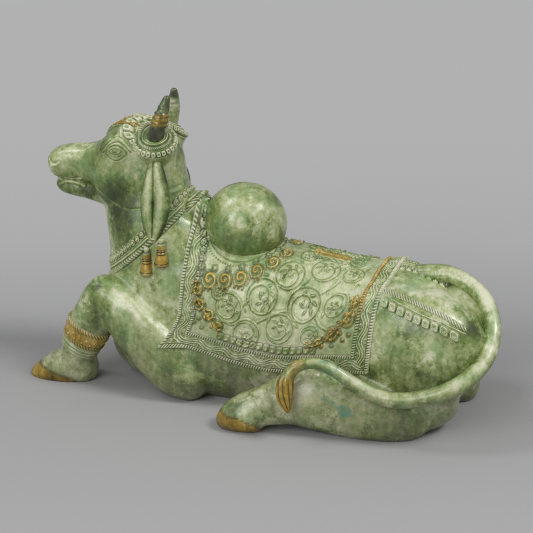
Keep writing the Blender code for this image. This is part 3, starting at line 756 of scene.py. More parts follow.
class Relief:
    """Heights over a flat grid: u along it, v across it, both in millimetres."""

    def __init__(self, u, v, flat=-0.15, crest=0.7):
        self.u, self.v = u, v
        self.U, self.V = np.meshgrid(u, v, indexing="ij")
        # dark holds painted shade in the gaps between raised parts.
        self.height, self.gold, self.dark = np.zeros((3, *self.U.shape))
        self.flat = np.full(self.U.shape, flat)
        self.crest = np.full(self.U.shape, crest)

    def gild(self, amount):
        self.gold[:] = np.maximum(self.gold, amount)

    # Painted shade in a gap or groove.
    def darken(self, amount):
        self.dark[:] = np.maximum(self.dark, amount)

    def window(self, u, v, reach):
        """The cells within reach of a place or of a stretch."""
        i = np.searchsorted(self.u, (np.min(u) - reach, np.max(u) + reach))
        j = np.searchsorted(self.v, (np.min(v) - reach, np.max(v) + reach))
        return slice(*i), slice(*j)

    def local(self, u, v, reach, turn=0.0):
        """The cells near a place, and where they lie from it, turned by an angle."""
        at = self.window(u, v, reach)
        du, dv = self.U[at] - u, self.V[at] - v
        c, s = math.cos(turn), math.sin(turn)
        return at, du * c + dv * s, dv * c - du * s

    def add(self, at, rise, lit, gold=0.0, gap=None):
        """Adds to some cells: height, gold where it is lit,
        and painted shade in the gap round it.
        """
        self.height[at] += rise
        self.gold[at] = np.maximum(self.gold[at], gold * unit(lit))
        if gap is not None:
            self.dark[at] = np.maximum(self.dark[at], gap)

    def line(self, path, width, height, edge=0.35, gold=0.0):
        """A raised stem with a fine groove along either side."""
        path = np.asarray(path, float)
        best = np.full(self.U.shape, 1e9)
        reach = 4 * width
        for p, q in zip(path[:-1], path[1:]):
            at = self.window((p[0], q[0]), (p[1], q[1]), reach)
            d = q - p
            du, dv = self.U[at] - p[0], self.V[at] - p[1]
            along = unit((du * d[0] + dv * d[1]) / max(d @ d, 1e-9))
            gap = (du - along * d[0]) ** 2 + (dv - along * d[1]) ** 2
            best[at] = np.minimum(best[at], gap)
        gap = np.sqrt(best)
        near = gap < reach
        rise = height * bump(gap[near], width)
        self.height[near] += rise - edge * height * bump(gap[near] - 2.1 * width, 0.8 * width)
        self.gold[near] = np.maximum(self.gold[near], gold * bump(gap[near], 1.3 * width))

    def dot(self, u, v, radius, height, gold=0.0, ringed=True):
        """A round bead, with a ring cut in its top."""
        at, x, y = self.local(u, v, radius * 1.6)
        gap = np.hypot(x, y) / radius
        rise = height * np.sqrt(unit(1 - gap ** 2))
        if ringed:
            rise -= 0.5 * height * bump(gap - 0.52, 0.16)
        # Painted shade in the gap round the bead.
        self.add(at, rise, 2 * (1.1 - gap), gold, 0.75 * bump(gap - 1.14, 0.15))

    def square(self, u, v, half, height, turn=0.0, gold=0.0, tall=1.0):
        """A small cushion with a pit in the middle."""
        at, x, y = self.local(u, v, half * 2, turn)
        x, y = x / half, y / half / tall
        gap = (np.abs(x) ** 4 + np.abs(y) ** 4) ** 0.25
        pit = bump(np.hypot(x, y), 0.32)
        rise = height * unit((1.08 - gap) / 0.3) - 0.5 * height * pit
        # Painted shade in the gap round the cushion.
        self.add(at, rise, 3 * (1.1 - gap), gold, 0.8 * bump(gap - 1.16, 0.14))

    def swirl(self, u, v, radius, height, turn=1, start=0.0, gold=1.0, coils=1.6):
        """A snail-shell boss: a ridge that winds in to the middle."""
        at, x, y = self.local(u, v, radius * 1.35)
        gap = np.hypot(x, y) / radius
        angle = (np.arctan2(y, x) * turn + start) / (2 * math.pi)
        ridge = 0.5 + 0.5 * np.cos(2 * math.pi * (gap * coils - angle))
        dome = np.sqrt(unit(1 - gap ** 2.6))
        self.height[at] = np.where(gap < 1.0, 1.6, self.height[at])
        self.flat[at] = np.where(gap < 1.05, -0.2, self.flat[at])
        self.crest[at] = np.where(gap < 1.05, 0.6, self.crest[at])
        rise = height * dome * (0.3 + 0.7 * ridge)
        # Painted shade round the shell and between its coils.
        dark = np.maximum(0.45 * bump(gap - 1.1, 0.08), 0.3 * dome * (1 - ridge) ** 3)
        self.add(at, rise, dome * (1.7 * ridge - 0.35), gold, dark)

    def leaf(self, u, v, length, angle, height=0.9, gold=0.0):
        """A pointed leaf with a groove down its middle."""
        at, x, y = self.local(u, v, length, math.radians(angle))
        x, y = 2 * x / length, 2 * y / length
        body = unit((0.4 * unit(1 - x ** 2) - np.abs(y)) / 0.12)
        self.add(at, height * body * (1 - 0.6 * bump(y, 0.1)), 1.5 * body, gold)


# Vine scrolls on the cloth: centre from front and hem, radius, start angle, way round.
SCROLLS = [
    (45, 46, 11.5, 200, 1), (73, 60, 13.2, 215, -1), (92, 79, 11.5, 235, 1), (92, 38, 11.6, 200, 1),
    (64, 29.5, 11.2, 150, -1), (110, 57.5, 13.6, 250, -1), (119, 88, 11.4, 240, 1),
    (138, 57, 9.8, 130, -1), (143, 86, 8.6, 200, 1), (119, 34, 7.6, 190, -1),
    (100, 101, 7, 160, -1), (140, 103, 6.5, 220, 1), (34, 56, 5.2, 30, 1),
]
# Leaves inside each scroll: angle past its start, how far out, length, both in radii.
SCROLL_LEAVES = [
    (150, 0.72, 0.52), (195, 0.68, 0.6), (240, 0.64, 0.6), (285, 0.62, 0.6), (325, 0.42, 0.5),
    (60, 0.12, 0.55), (130, 0.16, 0.45),
]
STEMS = [
    [(40, 35), (50, 33), (56, 40), (58, 50), (62, 55)],
    [(79, 47), (82, 56), (86, 64), (84, 70)],
    [(72, 40), (80, 45), (88, 50), (96, 52)],
    [(103, 70), (108, 76), (110, 82)],
    [(122, 47), (128, 40), (138, 36.5), (147, 39), (152, 47), (150, 58), (146, 66)],
    [(122, 66), (130, 72), (134, 78)],
    [(128, 97), (134, 100), (138, 97)],
]
# Loose leaves: centre from front and hem, length, angle.
LEAVES = [
    (58, 68, 8, 70), (84, 47, 8, 100), (57, 38, 7, 60), (78, 20, 7, 20), (103, 24, 8, 50),
    (98, 66, 8, 120), (127, 68, 8, 100), (106, 42, 8, 140), (130, 78, 8, 60), (150, 74, 8, 80),
    (84, 92, 7, 60), (109, 100, 6, 30), (128, 50, 7, 90), (60, 48, 6, 110), (120, 25, 7, 160),
    (133, 92, 7, 110), (97, 92, 6, 140), (152, 95, 7, 70), (36, 46, 6, 100), (72, 76, 7, 10),
]
SWIRLS = [(25, 64), (38, 66), (51, 70), (63, 77.5), (74, 87), (81, 99)]
RIM_SQUARES = [(17, 71), (27.5, 72.5), (39, 74), (50, 78), (60, 84.5), (68, 92), (73, 101)]
PEARLS = [(15.2, 62), (16, 67), (16.2, 72), (15.6, 77.2), (14.2, 82.5), (12.2, 88), (9.6, 93.5),
          (7.2, 98.5), (5.6, 103.5)]
# Gilt snail shells of the lower corners: centre, radius, way round.
GOLD_SWIRLS = [
    (15.5, 55, 5, 1), (18.5, 44.5, 6, -1), (28, 36.5, 5.8, 1), (38, 29.5, 5, -1),
    (152.5, 44.5, 6.2, -1), (139.5, 33.5, 6.6, 1), (127.5, 27.5, 5, -1), (155, 57, 4.4, 1),
]
FRONT_VINE = [(15, 61), (14, 54), (19, 46), (25, 39), (33, 31), (42, 26)]
REAR_VINE = [(156, 62), (156, 53), (151, 45), (144, 38), (136, 30), (127, 25.5), (118, 24)]
FRONT_BEADS = [(14, 34), (16.5, 27), (20, 31.5), (13.5, 40), (25, 24), (141, 24.5)]
GOLD_BEADS = [(143.5, 39.5), (147, 34.5), (150, 29), (155, 33)]

# Widths of the border: middle and half width of its cords, middle and pitch of the waves.
CORDS = ((1.6, 1.35), (14.6, 1.45))
CORD_PITCH = 2.1
WAVE_MIDDLE = 8.1
WAVE_PITCH = 22.0


def off(u, v, reach, degrees):
    """A place some way off from another, at an angle."""
    angle = math.radians(degrees)
    return u + reach * math.cos(angle), v + reach * math.sin(angle)


def scroll_path(u, v, radius, start, turn):
    """Round the circle and on inwards to a hook."""
    path = []
    for f in np.linspace(0, 1, 65):
        r = radius * (1 - 0.68 * (max(0.0, f - 0.55) / 0.45) ** 0.8)
        path.append(off(u, v, r, start + turn * 620 * f))
    return path


def foliage(relief, stations, size, gold):
    """A winding stem with leaves curling off on both sides in turn."""
    path = spline(stations, 5)
    relief.line(path, 0.9, 1.9, gold=gold)
    for k in range(0, len(path) - 1, 2):
        (u, v), (p, q) = path[k], path[k + 1]
        along = math.degrees(math.atan2(q - v, p - u))
        side = 1 if k % 4 else -1
        centre = off(u, v, 0.55 * size, along + side * 62)
        relief.leaf(*centre, size, along + side * 40, 1.9, gold=gold)


def cloth_border(relief):
    """Toothed cords along the edge, and between them three waving strands with curls."""
    U, V = relief.U, relief.V
    edge = np.minimum(np.minimum(U, CLOTH_LENGTH - U), V)
    hem = (V <= U) & (V <= CLOTH_LENGTH - U)
    run = np.where(hem, U, V)
    h = relief.height
    h += 1.6
    for centre, half in CORDS:
        cord = unit((half - np.abs(edge - centre)) / 0.5 + 0.5)
        tooth = np.sqrt(0.5 + 0.5 * np.cos(2 * math.pi * run / CORD_PITCH))
        h += 1.6 * cord * tooth
        # Painted shade between the teeth and along the cord's edge.
        relief.darken(0.8 * cord * (1 - tooth) ** 1.5)
        relief.darken(0.55 * bump(edge - centre - half - 0.5, 0.45))
    h += 0.5 * bump(edge - 3.9, 0.4) + 0.5 * bump(edge - 12.2, 0.4)
    wave = edge - WAVE_MIDDLE - 2.3 * np.sin(2 * math.pi * run / WAVE_PITCH)
    inside = unit((edge - 3.8) / 0.6) * unit((12.4 - edge) / 0.6)
    for k in (-2.4, 0, 2.4):
        h += 1.2 * bump(wave - k, 0.64) * inside
    phase = np.round((run / WAVE_PITCH - 0.25) * 2) / 2 + 0.25
    crest = np.sin(2 * math.pi * phase)
    curl = np.hypot(run - phase * WAVE_PITCH, edge - (WAVE_MIDDLE - 3.1 * crest))
    h += (0.8 * bump(curl - 1.6, 0.45) + 0.6 * bump(curl, 0.6)) * inside
    border = unit((16.4 - edge) / 0.6)
    relief.flat += (-0.15 - relief.flat) * border
    relief.crest += (1.0 - relief.crest) * border
    worn = unit((2.2 - np.abs(edge - 14.6)) / 0.8) * (U > 150)
    relief.gild(worn * unit((V - 42) / 12))


def cloth_relief(relief):
    """Everything chased on one half of the saddle cloth."""
    cloth_border(relief)
    for u, v, radius, start, turn in SCROLLS:
        relief.line(scroll_path(u, v, radius, start, turn), 0.6, 1.2, edge=0.4)
        for angle, reach, length in SCROLL_LEAVES:
            way = start + turn * angle
            relief.leaf(*off(u, v, reach * radius, way), length * radius, way + 50 * turn, 1.2)
        bulb = off(u, v, 0.33 * radius, start + turn * 612)
        relief.dot(*bulb, 0.17 * radius, 1.2, ringed=False)
    for stem in STEMS:
        relief.line(spline(stem, 6), 0.68, 0.95)
    for u, v, length, angle in LEAVES:
        relief.leaf(u, v, length, angle)
    for k in range(15):
        relief.square(43 + 5.85 * k, 20.4 + 0.5 * math.cos(k), 2.45, 1.7, tall=1.25)
    across, over = (relief.U - 40) / 34.5, (CLOTH_DROP - relief.V) / 33
    rim = (np.hypot(across, over) - 0.95) * 33
    teeth = 0.65 + 0.35 * np.cos(np.arctan2(over, across) * 92)
    relief.height += 1.2 * bump(rim + 1.7, 0.7) + 1.2 * bump(rim - 1.5, 0.75) * teeth
    for u, v in RIM_SQUARES:
        relief.square(u, v, 2.3, 1.6, turn=0.3)
    for u, v in PEARLS:
        relief.dot(u, v, 2.5, 2.4)
    for k, (u, v) in enumerate(SWIRLS):
        relief.swirl(u, v, 7.0 - 0.3 * k, 2.5, turn=-1, start=0.5, coils=1.45)
        for side in (-3.2, 0.4, 4):
            relief.leaf(u + side, v - 7.2 + 0.3 * k, 5, 80, 1.8, gold=0.5)
    for u, v, radius, turn in GOLD_SWIRLS:
        relief.swirl(u, v, radius, 2.2, turn=turn, start=1.2)
    foliage(relief, FRONT_VINE, 6.4, 0.7)
    foliage(relief, REAR_VINE, 6.6, 0.8)
    for places, gold in ((FRONT_BEADS, 0.0), (GOLD_BEADS, 1.0)):
        for u, v in places:
            relief.dot(u, v, 1.9, 1.7, gold=gold)
    for k in range(5):
        relief.leaf(104 + 6.2 * k, 107.4, 9, 8, 1.6, gold=1.0)
        relief.dot(102 + 5.8 * k, 102, 2.3, 1.8)


def settle(base):
    """Evens the sheet's folds, so that it lies on the body like cloth."""
    for _ in range(7):
        for axis in (0, 1):
            rolled = np.moveaxis(base, axis, 0)
            rolled[1:-1] = 0.5 * rolled[1:-1] + 0.25 * (rolled[2:] + rolled[:-2])
    return base


def saddle_cloth(tree, relief, sign):
    """One half of the cloth, from its hem to the ridge of the back."""
    rows, columns = CLOTH_FOLDS
    base = np.empty((rows, columns, 3))
    out = np.empty_like(base)
    for i, a in enumerate(np.linspace(0, 1, rows)):
        for j, t in enumerate(np.linspace(0, 1, columns)):
            base[i, j], out[i, j] = cloth_point(tree, a, sign * (1 - t))
    base = settle(base)
    across = refine(rows, relief.u / CLOTH_LENGTH * (rows - 1))
    along = refine(columns, relief.v / CLOTH_DROP * (columns - 1))
    fine = np.einsum("ia,abk,jb->ijk", across, base, along)
    slope_u, slope_v = np.gradient(fine, axis=0), np.gradient(fine, axis=1)
    outward = np.cross(slope_u, slope_v)
    outward /= np.linalg.norm(outward, axis=2, keepdims=True)
    towards = np.einsum("ia,abk,jb->ijk", across, out, along)
    outward *= np.sign((outward * towards).sum(2, keepdims=True))
    top = fine + outward * relief.height[..., None]
    skirt = fine - towards * CLOTH_SKIRT
    whole = np.concatenate([skirt[:1], top, skirt[-1:]], 0)
    hem = np.concatenate([skirt[:1, :1], skirt[:, :1], skirt[-1:, :1]], 0)
    whole = np.concatenate([hem, whole], 1)
    pad = ((1, 1), (1, 0))
    outward = np.pad(towards, pad + ((0, 0),), "edge")
    obj = grid_object(side_name("cloth", sign), whole, outward=outward)
    finish_sheet(obj, relief, pad, 12)
    return obj


def finish_sheet(obj, relief, pad=((0, 0), (0, 0)), rounds=8):
    """Tones of a chased sheet: its flat ground, the crests that stand out,
    and the painted shade of the deep gaps.
    """
    flat, crest, gold, dark = (np.pad(layer, pad, "edge").ravel() for layer in
                               (relief.flat, relief.crest, relief.gold, relief.dark))
    out = unit(raised(obj.data, rounds, 0.3))
    tint(obj, flat + (crest - flat) * out, gold, dark)


def band(name, tree, place, relief, closed=False, sink=1.2, reach=130.0):
    """A strip dropped on the skin: place(u, v) gives the origin and way of each ray."""
    base = np.empty(relief.U.shape + (3,))
    out = np.empty_like(base)
    for i, u in enumerate(relief.u):
        for j, v in enumerate(relief.v):
            origin, outward = place(u, v)
            base[i, j] = cast(tree, origin, outward, reach)
            out[i, j] = Vector(outward).normalized()
    rise = relief.height.copy()
    rise[:, 0] = rise[:, -1] = -sink
    if not closed:
        rise[0] = rise[-1] = -sink
    obj = grid_object(name, base + out * rise[..., None], closed, out)
    finish_sheet(obj, relief)
    return obj


def rope_relief(relief, at, width, height, pitch, gold=0.0, slant=0.9):
    """A twisted cord along the strip."""
    gap = relief.V - at
    twist = 0.5 + 0.5 * np.cos(2 * math.pi * (relief.U + slant * gap) / pitch)
    round_top = np.sqrt(unit(1 - (gap / width) ** 2))
    relief.height += height * round_top * (0.35 + 0.65 * np.sqrt(twist))
    relief.gild(gold * round_top)
    # Painted shade between the twists and along the cord's edges.
    relief.darken(0.85 * (1 - twist) ** 3 * round_top)
    relief.darken(0.7 * bump(np.abs(gap) - width * 1.12, 0.3))


def strip(length, columns, low, high, rows, closed=False, **tones):
    """A relief for a band: its length and cells along it, its edges and cells across it."""
    along = np.linspace(0, length, columns)
    return Relief(along[:-1] if closed else along, np.linspace(low, high, rows), **tones)


def side_name(name, sign):
    return f"{name}_{'near' if sign < 0 else 'far'}"


def collar(tree):
    """Beads above, a twisted cord below, round the neck."""
    length = 300.0
    relief = strip(length, 560, -7, 10, 30, closed=True)
    rope_relief(relief, -2.8, 2.2, 2.6, length / 92)
    relief.height += 1.5 * bump(relief.V - 0.9, 0.7) + 1.3 * bump(relief.V - 2.9, 0.5)
    for k in range(50):
        relief.dot((k + 0.5) * length / 50, 6.3, 2.6, 2.7)

    def place(u, v):
        angle = 2 * math.pi * u / length
        centre = COLLAR_CENTRE + Vector((-0.55, 0, 0.85)) * v
        droop = Vector((0, 0, -4 * math.sin(angle) ** 2))
        return centre + droop, around(COLLAR_SLOPE, ACROSS, angle)

    return band("collar", tree, place, relief, closed=True)


def anklet(tree):
    """A chased band between cords, and plain rings under it."""
    length = 110.0
    relief = strip(length, 241, -10, 20, 56, closed=True, flat=0.1)
    for at in (-7.4, 6.6):
        rope_relief(relief, at, 1.6, 2.4, length / 40, gold=0.9)
    inside = unit((6.2 - np.abs(relief.V + 0.4)) / 0.8)
    relief.height += 1.4 * inside
    relief.gild(0.95 * inside)
    for k in range(14):
        relief.leaf((k + 0.5) * length / 14, -0.4, 7.0, 90 if k % 2 else 35, 0.9, gold=1.0)
        relief.dot(k * length / 14, 2.8, 1.2, 0.8, gold=1.0, ringed=False)
    for at, rise in ((11.0, 1.4), (14.4, 1.2), (17.4, 0.8)):
        relief.height += rise * bump(relief.V - at, 0.95)
    down = Vector((-0.43, 0.03, -0.9)).normalized()
    across = down.cross(ACROSS).normalized()
    up = down.cross(across)

    def place(u, v):
        centre = Vector((-151.5, -41, 45)) + down * v
        return centre, around(across, up, 2 * math.pi * u / length)

    return band("anklet", tree, place, relief, closed=True, reach=25.0)


def rump_garland(tree, sign):
    """A twisted cord and, lower, a string of square beads, back from the cloth to the tail."""
    length = 76.0
    relief = strip(length, 190, -14, 7, 50, flat=0.3, crest=0.8)
    rope_relief(relief, 4.0, 2.1, 2.6, 2.6)
    for k in range(9):
        u = 5 + 7.9 * k
        v = -3.4 - 3.2 * math.sin(math.pi * u / length)
        relief.square(u, v, 3.5, 4.6)
        relief.dot(u, v, 1.7, 0.9)
    cord = relief.V - (1.2 - 3.2 * np.sin(math.pi * relief.U / length))
    relief.height += 1.2 * bump(cord, 0.7)
    relief.height -= 0.7
    short = 9 * max(sign, 0)
    path = [(0, 107, 121), (0.35, 131, 115), (0.75, 158 - short, 106),
            (1, 177 - 2 * short, 96 + short)]

    def place(u, v):
        x, z = between(path, u / length)
        return (x, 0, z - 26 + 1.15 * v), (0, sign, 0.36)

    return band(side_name("rump_garland", sign), tree, place, relief)


def crupper(tree):
    """The strap from the cloth back to the tail, with a row of beads on either side."""
    length = 46.0
    relief = strip(length, 100, -10, 10, 44, flat=0.2, crest=0.8)
    relief.height += 1.2 * unit((6.8 - np.abs(relief.V)) / 1.0)
    for at in (-5.6, 5.6):
        rope_relief(relief, at, 1.2, 1.2, 2.4)
    for at in (-2, 2):
        relief.height += 0.6 * bump(relief.V - at, 0.5)
    for k in range(8):
        for at in (-8.2, 8.2):
            relief.dot(3 + 5.6 * k, at, 2.2, 1.8)

    def place(u, v):
        return (104 + u, v - 0.03 * u, 60), (0, 0, 1)

    return band("crupper", tree, place, relief)


def horn_rings(tree, sign):
    """Rings and a row of square beads round the foot of one horn."""
    base, normal = horn_axis(sign)
    up = (Vector((1, 0, 0)) - normal * normal.x).normalized()
    across = normal.cross(up)
    length = 104.0
    relief = strip(length, 281, 6.5, 20.8, 44, closed=True, flat=-0.1, crest=0.9)
    relief.height += 1.3 * bump(relief.V - 9.2, 0.8)
    # Painted shade in the groove above the plain ring.
    relief.darken(0.8 * bump(relief.V - 10.6, 0.5))
    rope_relief(relief, 12.2, 1.2, 1.5, length / 50)
    for k in range(25):
        relief.square((k + 0.5) * length / 25, 16.4, 1.85, 2.8)
    relief.height += 0.8 * bump(relief.V - 19.4, 0.5)

    leans = [(6.5, 24), (9.6, 32), (12.9, 43), (16.6, 57), (21.5, 71)]

    def place(u, v):
        lean = math.radians(between(leans, v)[0])
        flat = around(across, up, 2 * math.pi * u / length)
        return base - normal * 12, around(normal, flat, lean)

    return band(side_name("horn_rings", sign), tree, place, relief, closed=True, reach=45.0)


def brow_band(tree):
    """The gilt band across the forehead, with a row of beads hanging under it."""
    length = 50.0
    relief = strip(length, 150, -9, 7, 46)
    middle = unit(3.2 - np.abs(relief.U / length - 0.5) * 5.4)
    relief.height += 0.8 * unit((5.4 - np.abs(relief.V - 1.4)) / 0.8)
    rope_relief(relief, 5.2, 1.3, 1.2, 2.6)
    rope_relief(relief, -2.6, 1.3, 1.6, 2.6)
    for k in range(12):
        relief.dot(3 + 4 * k, 1.6, 1.9, 1.8)
        relief.dot(3 + 4 * k, -6.2, 1.9, 2.2)
    relief.gold = unit(middle * unit((relief.V + 4.4) / 1.0) * 1.2)

    def place(u, v):
        f = 2 * u / length - 1
        outward = Vector((-1.55 + 1.75 * abs(f) ** 1.1, 0.55 * f, 1))
        return (-118 + 0.7 * v, 0, 195 + 0.4 * v), outward

    return band("brow_band", tree, place, relief)


def full_turn(sides):
    """Angles once round, with the first one again at the end."""
    return [2 * math.pi * k / sides for k in range(sides + 1)]


def lathe(profile, top, sides=36):
    """A turned form hanging from its top: the profile is (drop, radius)."""
    rows = []
    for drop, radius in spline(profile, 5):
        centre = Vector(top) - Vector((0, 0, drop))
        rows.append([centre + around(Vector((1, 0, 0)), ACROSS, a) * max(radius, 0.05)
                     for a in full_turn(sides)])
    return grid_object("turned", np.array(rows))


def join(name, objs):
    """One object of several, with their vertex numbers kept."""
    bpy.ops.object.select_all(action="DESELECT")
    for obj in objs:
        obj.select_set(True)
    bpy.context.view_layer.objects.active = objs[0]
    bpy.ops.object.join()
    objs[0].name = name
    objs[0].data.name = name
    return objs[0]


BELL = [(-2, 0.2), (-1.6, 1.8), (0, 2.1), (1.4, 1.7), (2.4, 2.6), (3.6, 3.0), (7, 3.1), (8.2, 3.9),
        (9.2, 3.3), (10.4, 4.2), (11.6, 3.8), (15.5, 5.0), (18.4, 5.5), (19.6, 6.1), (20.8, 5.9),
        (20.9, 4.8), (18, 4.2), (12, 2.0), (11, 0.1)]


# Rings cut round a bell, painted dark as shade: drop and width.
BELL_GROOVES = ((7.6, 0.5), (9.3, 0.4), (11.2, 0.5), (18.9, 0.4), (2.0, 0.5))


def bells():
    """Two bells hanging from the collar on each side."""
    made = []
    for sign in (-1, 1):
        for x, y, z in ((-93.5, 45.5, 126), (-80, 46.5, 135.5)):
            obj = lathe(BELL, (x, sign * y, z))
            drop = z - read_points(obj.data)[:, 2] / MM
            groove = hills(drop, BELL_GROOVES)
            pale = 0.7 - 0.5 * unit(drop / 4)
            # Painted shade in the cut rings and at the rim of the mouth.
            dark = np.maximum(unit(1.1 * groove), np.where(drop > 20.7, 1.0, 0.0))
            tint(obj, pale, unit((drop - 3.2) / 1.5), dark)
            made.append(obj)
    return join("bells", made)


# Stations of the horn's middle line and radius, and its rings: height, rise, width.
HORN = [(-95, 19, 204, 7.1), (-93, 20, 217, 6.8), (-90, 18.5, 228.5, 5.8),
        (-87.5, 15.5, 239, 4.5), (-86, 12.5, 246.6, 2.6), (-85.8, 12.1, 248.0, 0.3)]
HORN_RINGS = [(226.0, 1.1, 1.0), (229.4, 1.3, 1.7), (233.2, 1.2, 1.2), (238.5, 0.5, 1.2)]
HORN_GILT = ((229.4, 2.4), (233.4, 1.7), (226.0, 1.3))
# Grooves painted dark as shade: height and width.
HORN_GROOVES = ((227.6, 0.5), (231.7, 0.5), (235.2, 0.7))


def horns():
    """Horn, its gilt rings and its tip, on both sides."""
    made = []
    for sign in (-1, 1):
        lead = Vector((-HORN_LEAD * max(sign, 0), 0, 0))
        path = spline(HORN, 14)
        points = [Vector((x, sign * y, z)) for x, y, z, _ in path]
        loops = []
        for i, (centre, (*_, z, radius)) in enumerate(zip(points, path)):
            ahead, _, _ = path_frame(points, i)
            across = ahead.cross(ACROSS).normalized()
            up = ahead.cross(across)
            bulge = sum(rise * bump(z - at, width) for at, rise, width in HORN_RINGS)
            reach = radius + (0.7 - 0.3 * sign) * bulge
            loops.append([centre + lead + around(across, up, a) * reach for a in full_turn(40)])
        obj = grid_object("horn", np.array(loops))
        z = read_points(obj.data)[:, 2] / MM
        ringed = unit(hills(z, HORN_GILT))
        groove = hills(z, HORN_GROOVES)
        if sign < 0:
            # Painted shade in the grooves; the dark stalk and tip are the horn's own colour.
            dark = np.where(z < 226, 0.9 * (1 - ringed), 0.8 * groove)
            dark += 0.45 * unit((z - 235) / 3)
            tint(obj, -0.4, ringed, unit(dark))
        else:
            tint(obj, 0.3, 0.0, unit(0.5 * groove + 0.8 * unit((z - 238) / 3)))
        made.append(obj)
    return join("horns", made)


EAR_FRONT = [(-94.5, 26, 192, 3.2, 3.8), (-95.6, 30, 178, 3.4, 5.4), (-96.2, 34, 162, 3.4, 6.2),
             (-94.4, 37, 146, 3.2, 5.4), (-91.5, 38.5, 131, 2.6, 2.8)]
EAR_BACK = [(-90.5, 26, 193, 4, 4.4), (-86.6, 30, 179, 4.4, 6.6), (-83.8, 34, 163.5, 4.4, 7.4),
            (-85, 37, 147.5, 4, 6), (-89.5, 38.5, 131, 2.6, 2.8)]
# The line between the lobes: height and place along the figure.
EAR_MIDDLE = ([131, 147, 163, 178, 192], [-90.5, -90, -90.4, -91.2, -92.5])
# Height of the spot of painted shade where the hole is.
EAR_HOLE_Z = 163


def ears():
    """Long hanging ears in two lobes, with a spot painted dark between them
    as the shade of a hole.
    """
    made = []
    for sign in (-1, 1):
        lead = -EAR_LEAD * max(sign, 0)
        for lobe in (EAR_FRONT, EAR_BACK):
            rows = [(x + lead, sign * y, z, w, h) for x, y, z, w, h in lobe]
            obj = add_object("lobe", limb(rows, steps=16, count=48, cap=0.9))
            x, _, z = (read_points(obj.data) / MM).T
            centres, _, heights, _, halves = zip(*reversed(rows))
            off_centre = (x - np.interp(z, heights, centres)) / np.interp(z, heights, halves)
            off_middle = x - np.interp(z, *EAR_MIDDLE) - lead
            hole = np.hypot(off_middle, z - EAR_HOLE_Z)
            # Painted shade along the groove between the lobes and in the hole.
            groove = 0.55 * bump(off_middle, 0.6) + 1.3 * bump(hole, 1.9)
            # Painted highlight down the middle of each lobe and painted shade towards its edges.
            tint(obj, 0.6 - 1.5 * off_centre ** 2, 0.0, unit(groove))
            made.append(obj)
    return join("ears", made)


# Stations of the tail's middle line, with its half width and half height.
TAIL = [
    (110, 0, 111, 7, 6), (124, 0, 115.5, 8.6, 7), (138, 0, 117.2, 9.4, 7.8),
    (152, -1.5, 118, 8.6, 7), (168, -7, 113.5, 7.2, 7), (183, -16, 104, 7, 7),
    (192, -30, 90, 7, 7), (193, -44, 76, 7, 7), (188, -58.5, 64.5, 6.9, 6.9),
    (175, -71.5, 54, 6.8, 6.8), (156.5, -79.5, 46, 6.6, 6.6), (133, -84, 41, 6.4, 6.4),
    (112.5, -86, 43.5, 6, 6), (93.5, -86.5, 52.5, 5.4, 5.4), (78, -88, 61.5, 4.8, 4.8),
    (64, -90.5, 65.5, 4.6, 4.6), (52.5, -95, 62.5, 4.6, 4.8), (46.4, -99, 55, 4.9, 5.6),
    (44.8, -100.8, 47.5, 5.6, 6.6), (45.2, -102.5, 38, 5.2, 6), (47.4, -103.3, 29.5, 2.7, 2.9),
    (48.6, -103.5, 26, 0.3, 0.3),
]
# The tuft: where it starts along the tail, how fast it sets in, its strands and their twist.
TUFT_START = 0.8
TUFT_ONSET = 0.04
STRANDS = 8
STRAND_TWIST = 0.16
# The way the light comes from, for the highlight painted along the tail.
PAINTED_HIGHLIGHT_FROM = Vector((0.5, -0.5, 0.7))


def tail():
    """The tail, which grows out of the rump, and its tuft of twisted strands,
    with a painted highlight along its lit side and painted shade between the strands.
    """
    path = spline(TAIL, 14)
    points = [Vector(row[:3]) for row in path]
    loops, hair, groove, painted_highlight = [], [], [], []
    for i, (centre, (*_, width, height)) in enumerate(zip(points, path)):
        _, across, up = path_frame(points, i)
        strands = max(0.0, min(1.0, (i / len(path) - TUFT_START) / TUFT_ONSET))
        loop = []
        for a in full_turn(64):
            wave = math.cos(STRANDS * a + i * STRAND_TWIST)
            lift = 0.6 * strands * wave * min(1, width / 3)
            loop.append(centre + around(across * (width + lift), up * (height + lift), a))
            hair.append(strands)
            # Painted shade in the grooves between the strands.
            groove.append(strands * max(0.0, -wave) ** 2)
            painted_highlight.append(around(across, up, a).dot(PAINTED_HIGHLIGHT_FROM))
        loops.append(loop)
    obj = grid_object("tail", np.array(loops))
    x = read_points(obj.data)[:, 0] / MM
    hair, groove, painted_highlight = np.array(hair), np.array(groove), np.array(painted_highlight)
    # Painted highlight along the tail's lit side, on top of its tone.
    pale = -0.1 + 1.2 * unit(painted_highlight) ** 4 * (x > 60) - 0.2 * bump(x - 66, 24)
    gilt = unit(hair + 0.7 * bump(x - 52, 6))
    tint(obj, pale, gilt, 0.9 * groove, 0.5 * bump(x - 78, 28) * (1 - gilt))
    return obj


def hump():
    """The plain round hump."""
    obj = add_object("hump", ball(HUMP_CENTRE, HUMP_RADII, segments=144, rings=96))
    # Painted light on the hump's top and right side, painted shade on its left and lower front.
    tint(obj, washes_and_painted_light(read_points(obj.data) / MM))
    return obj


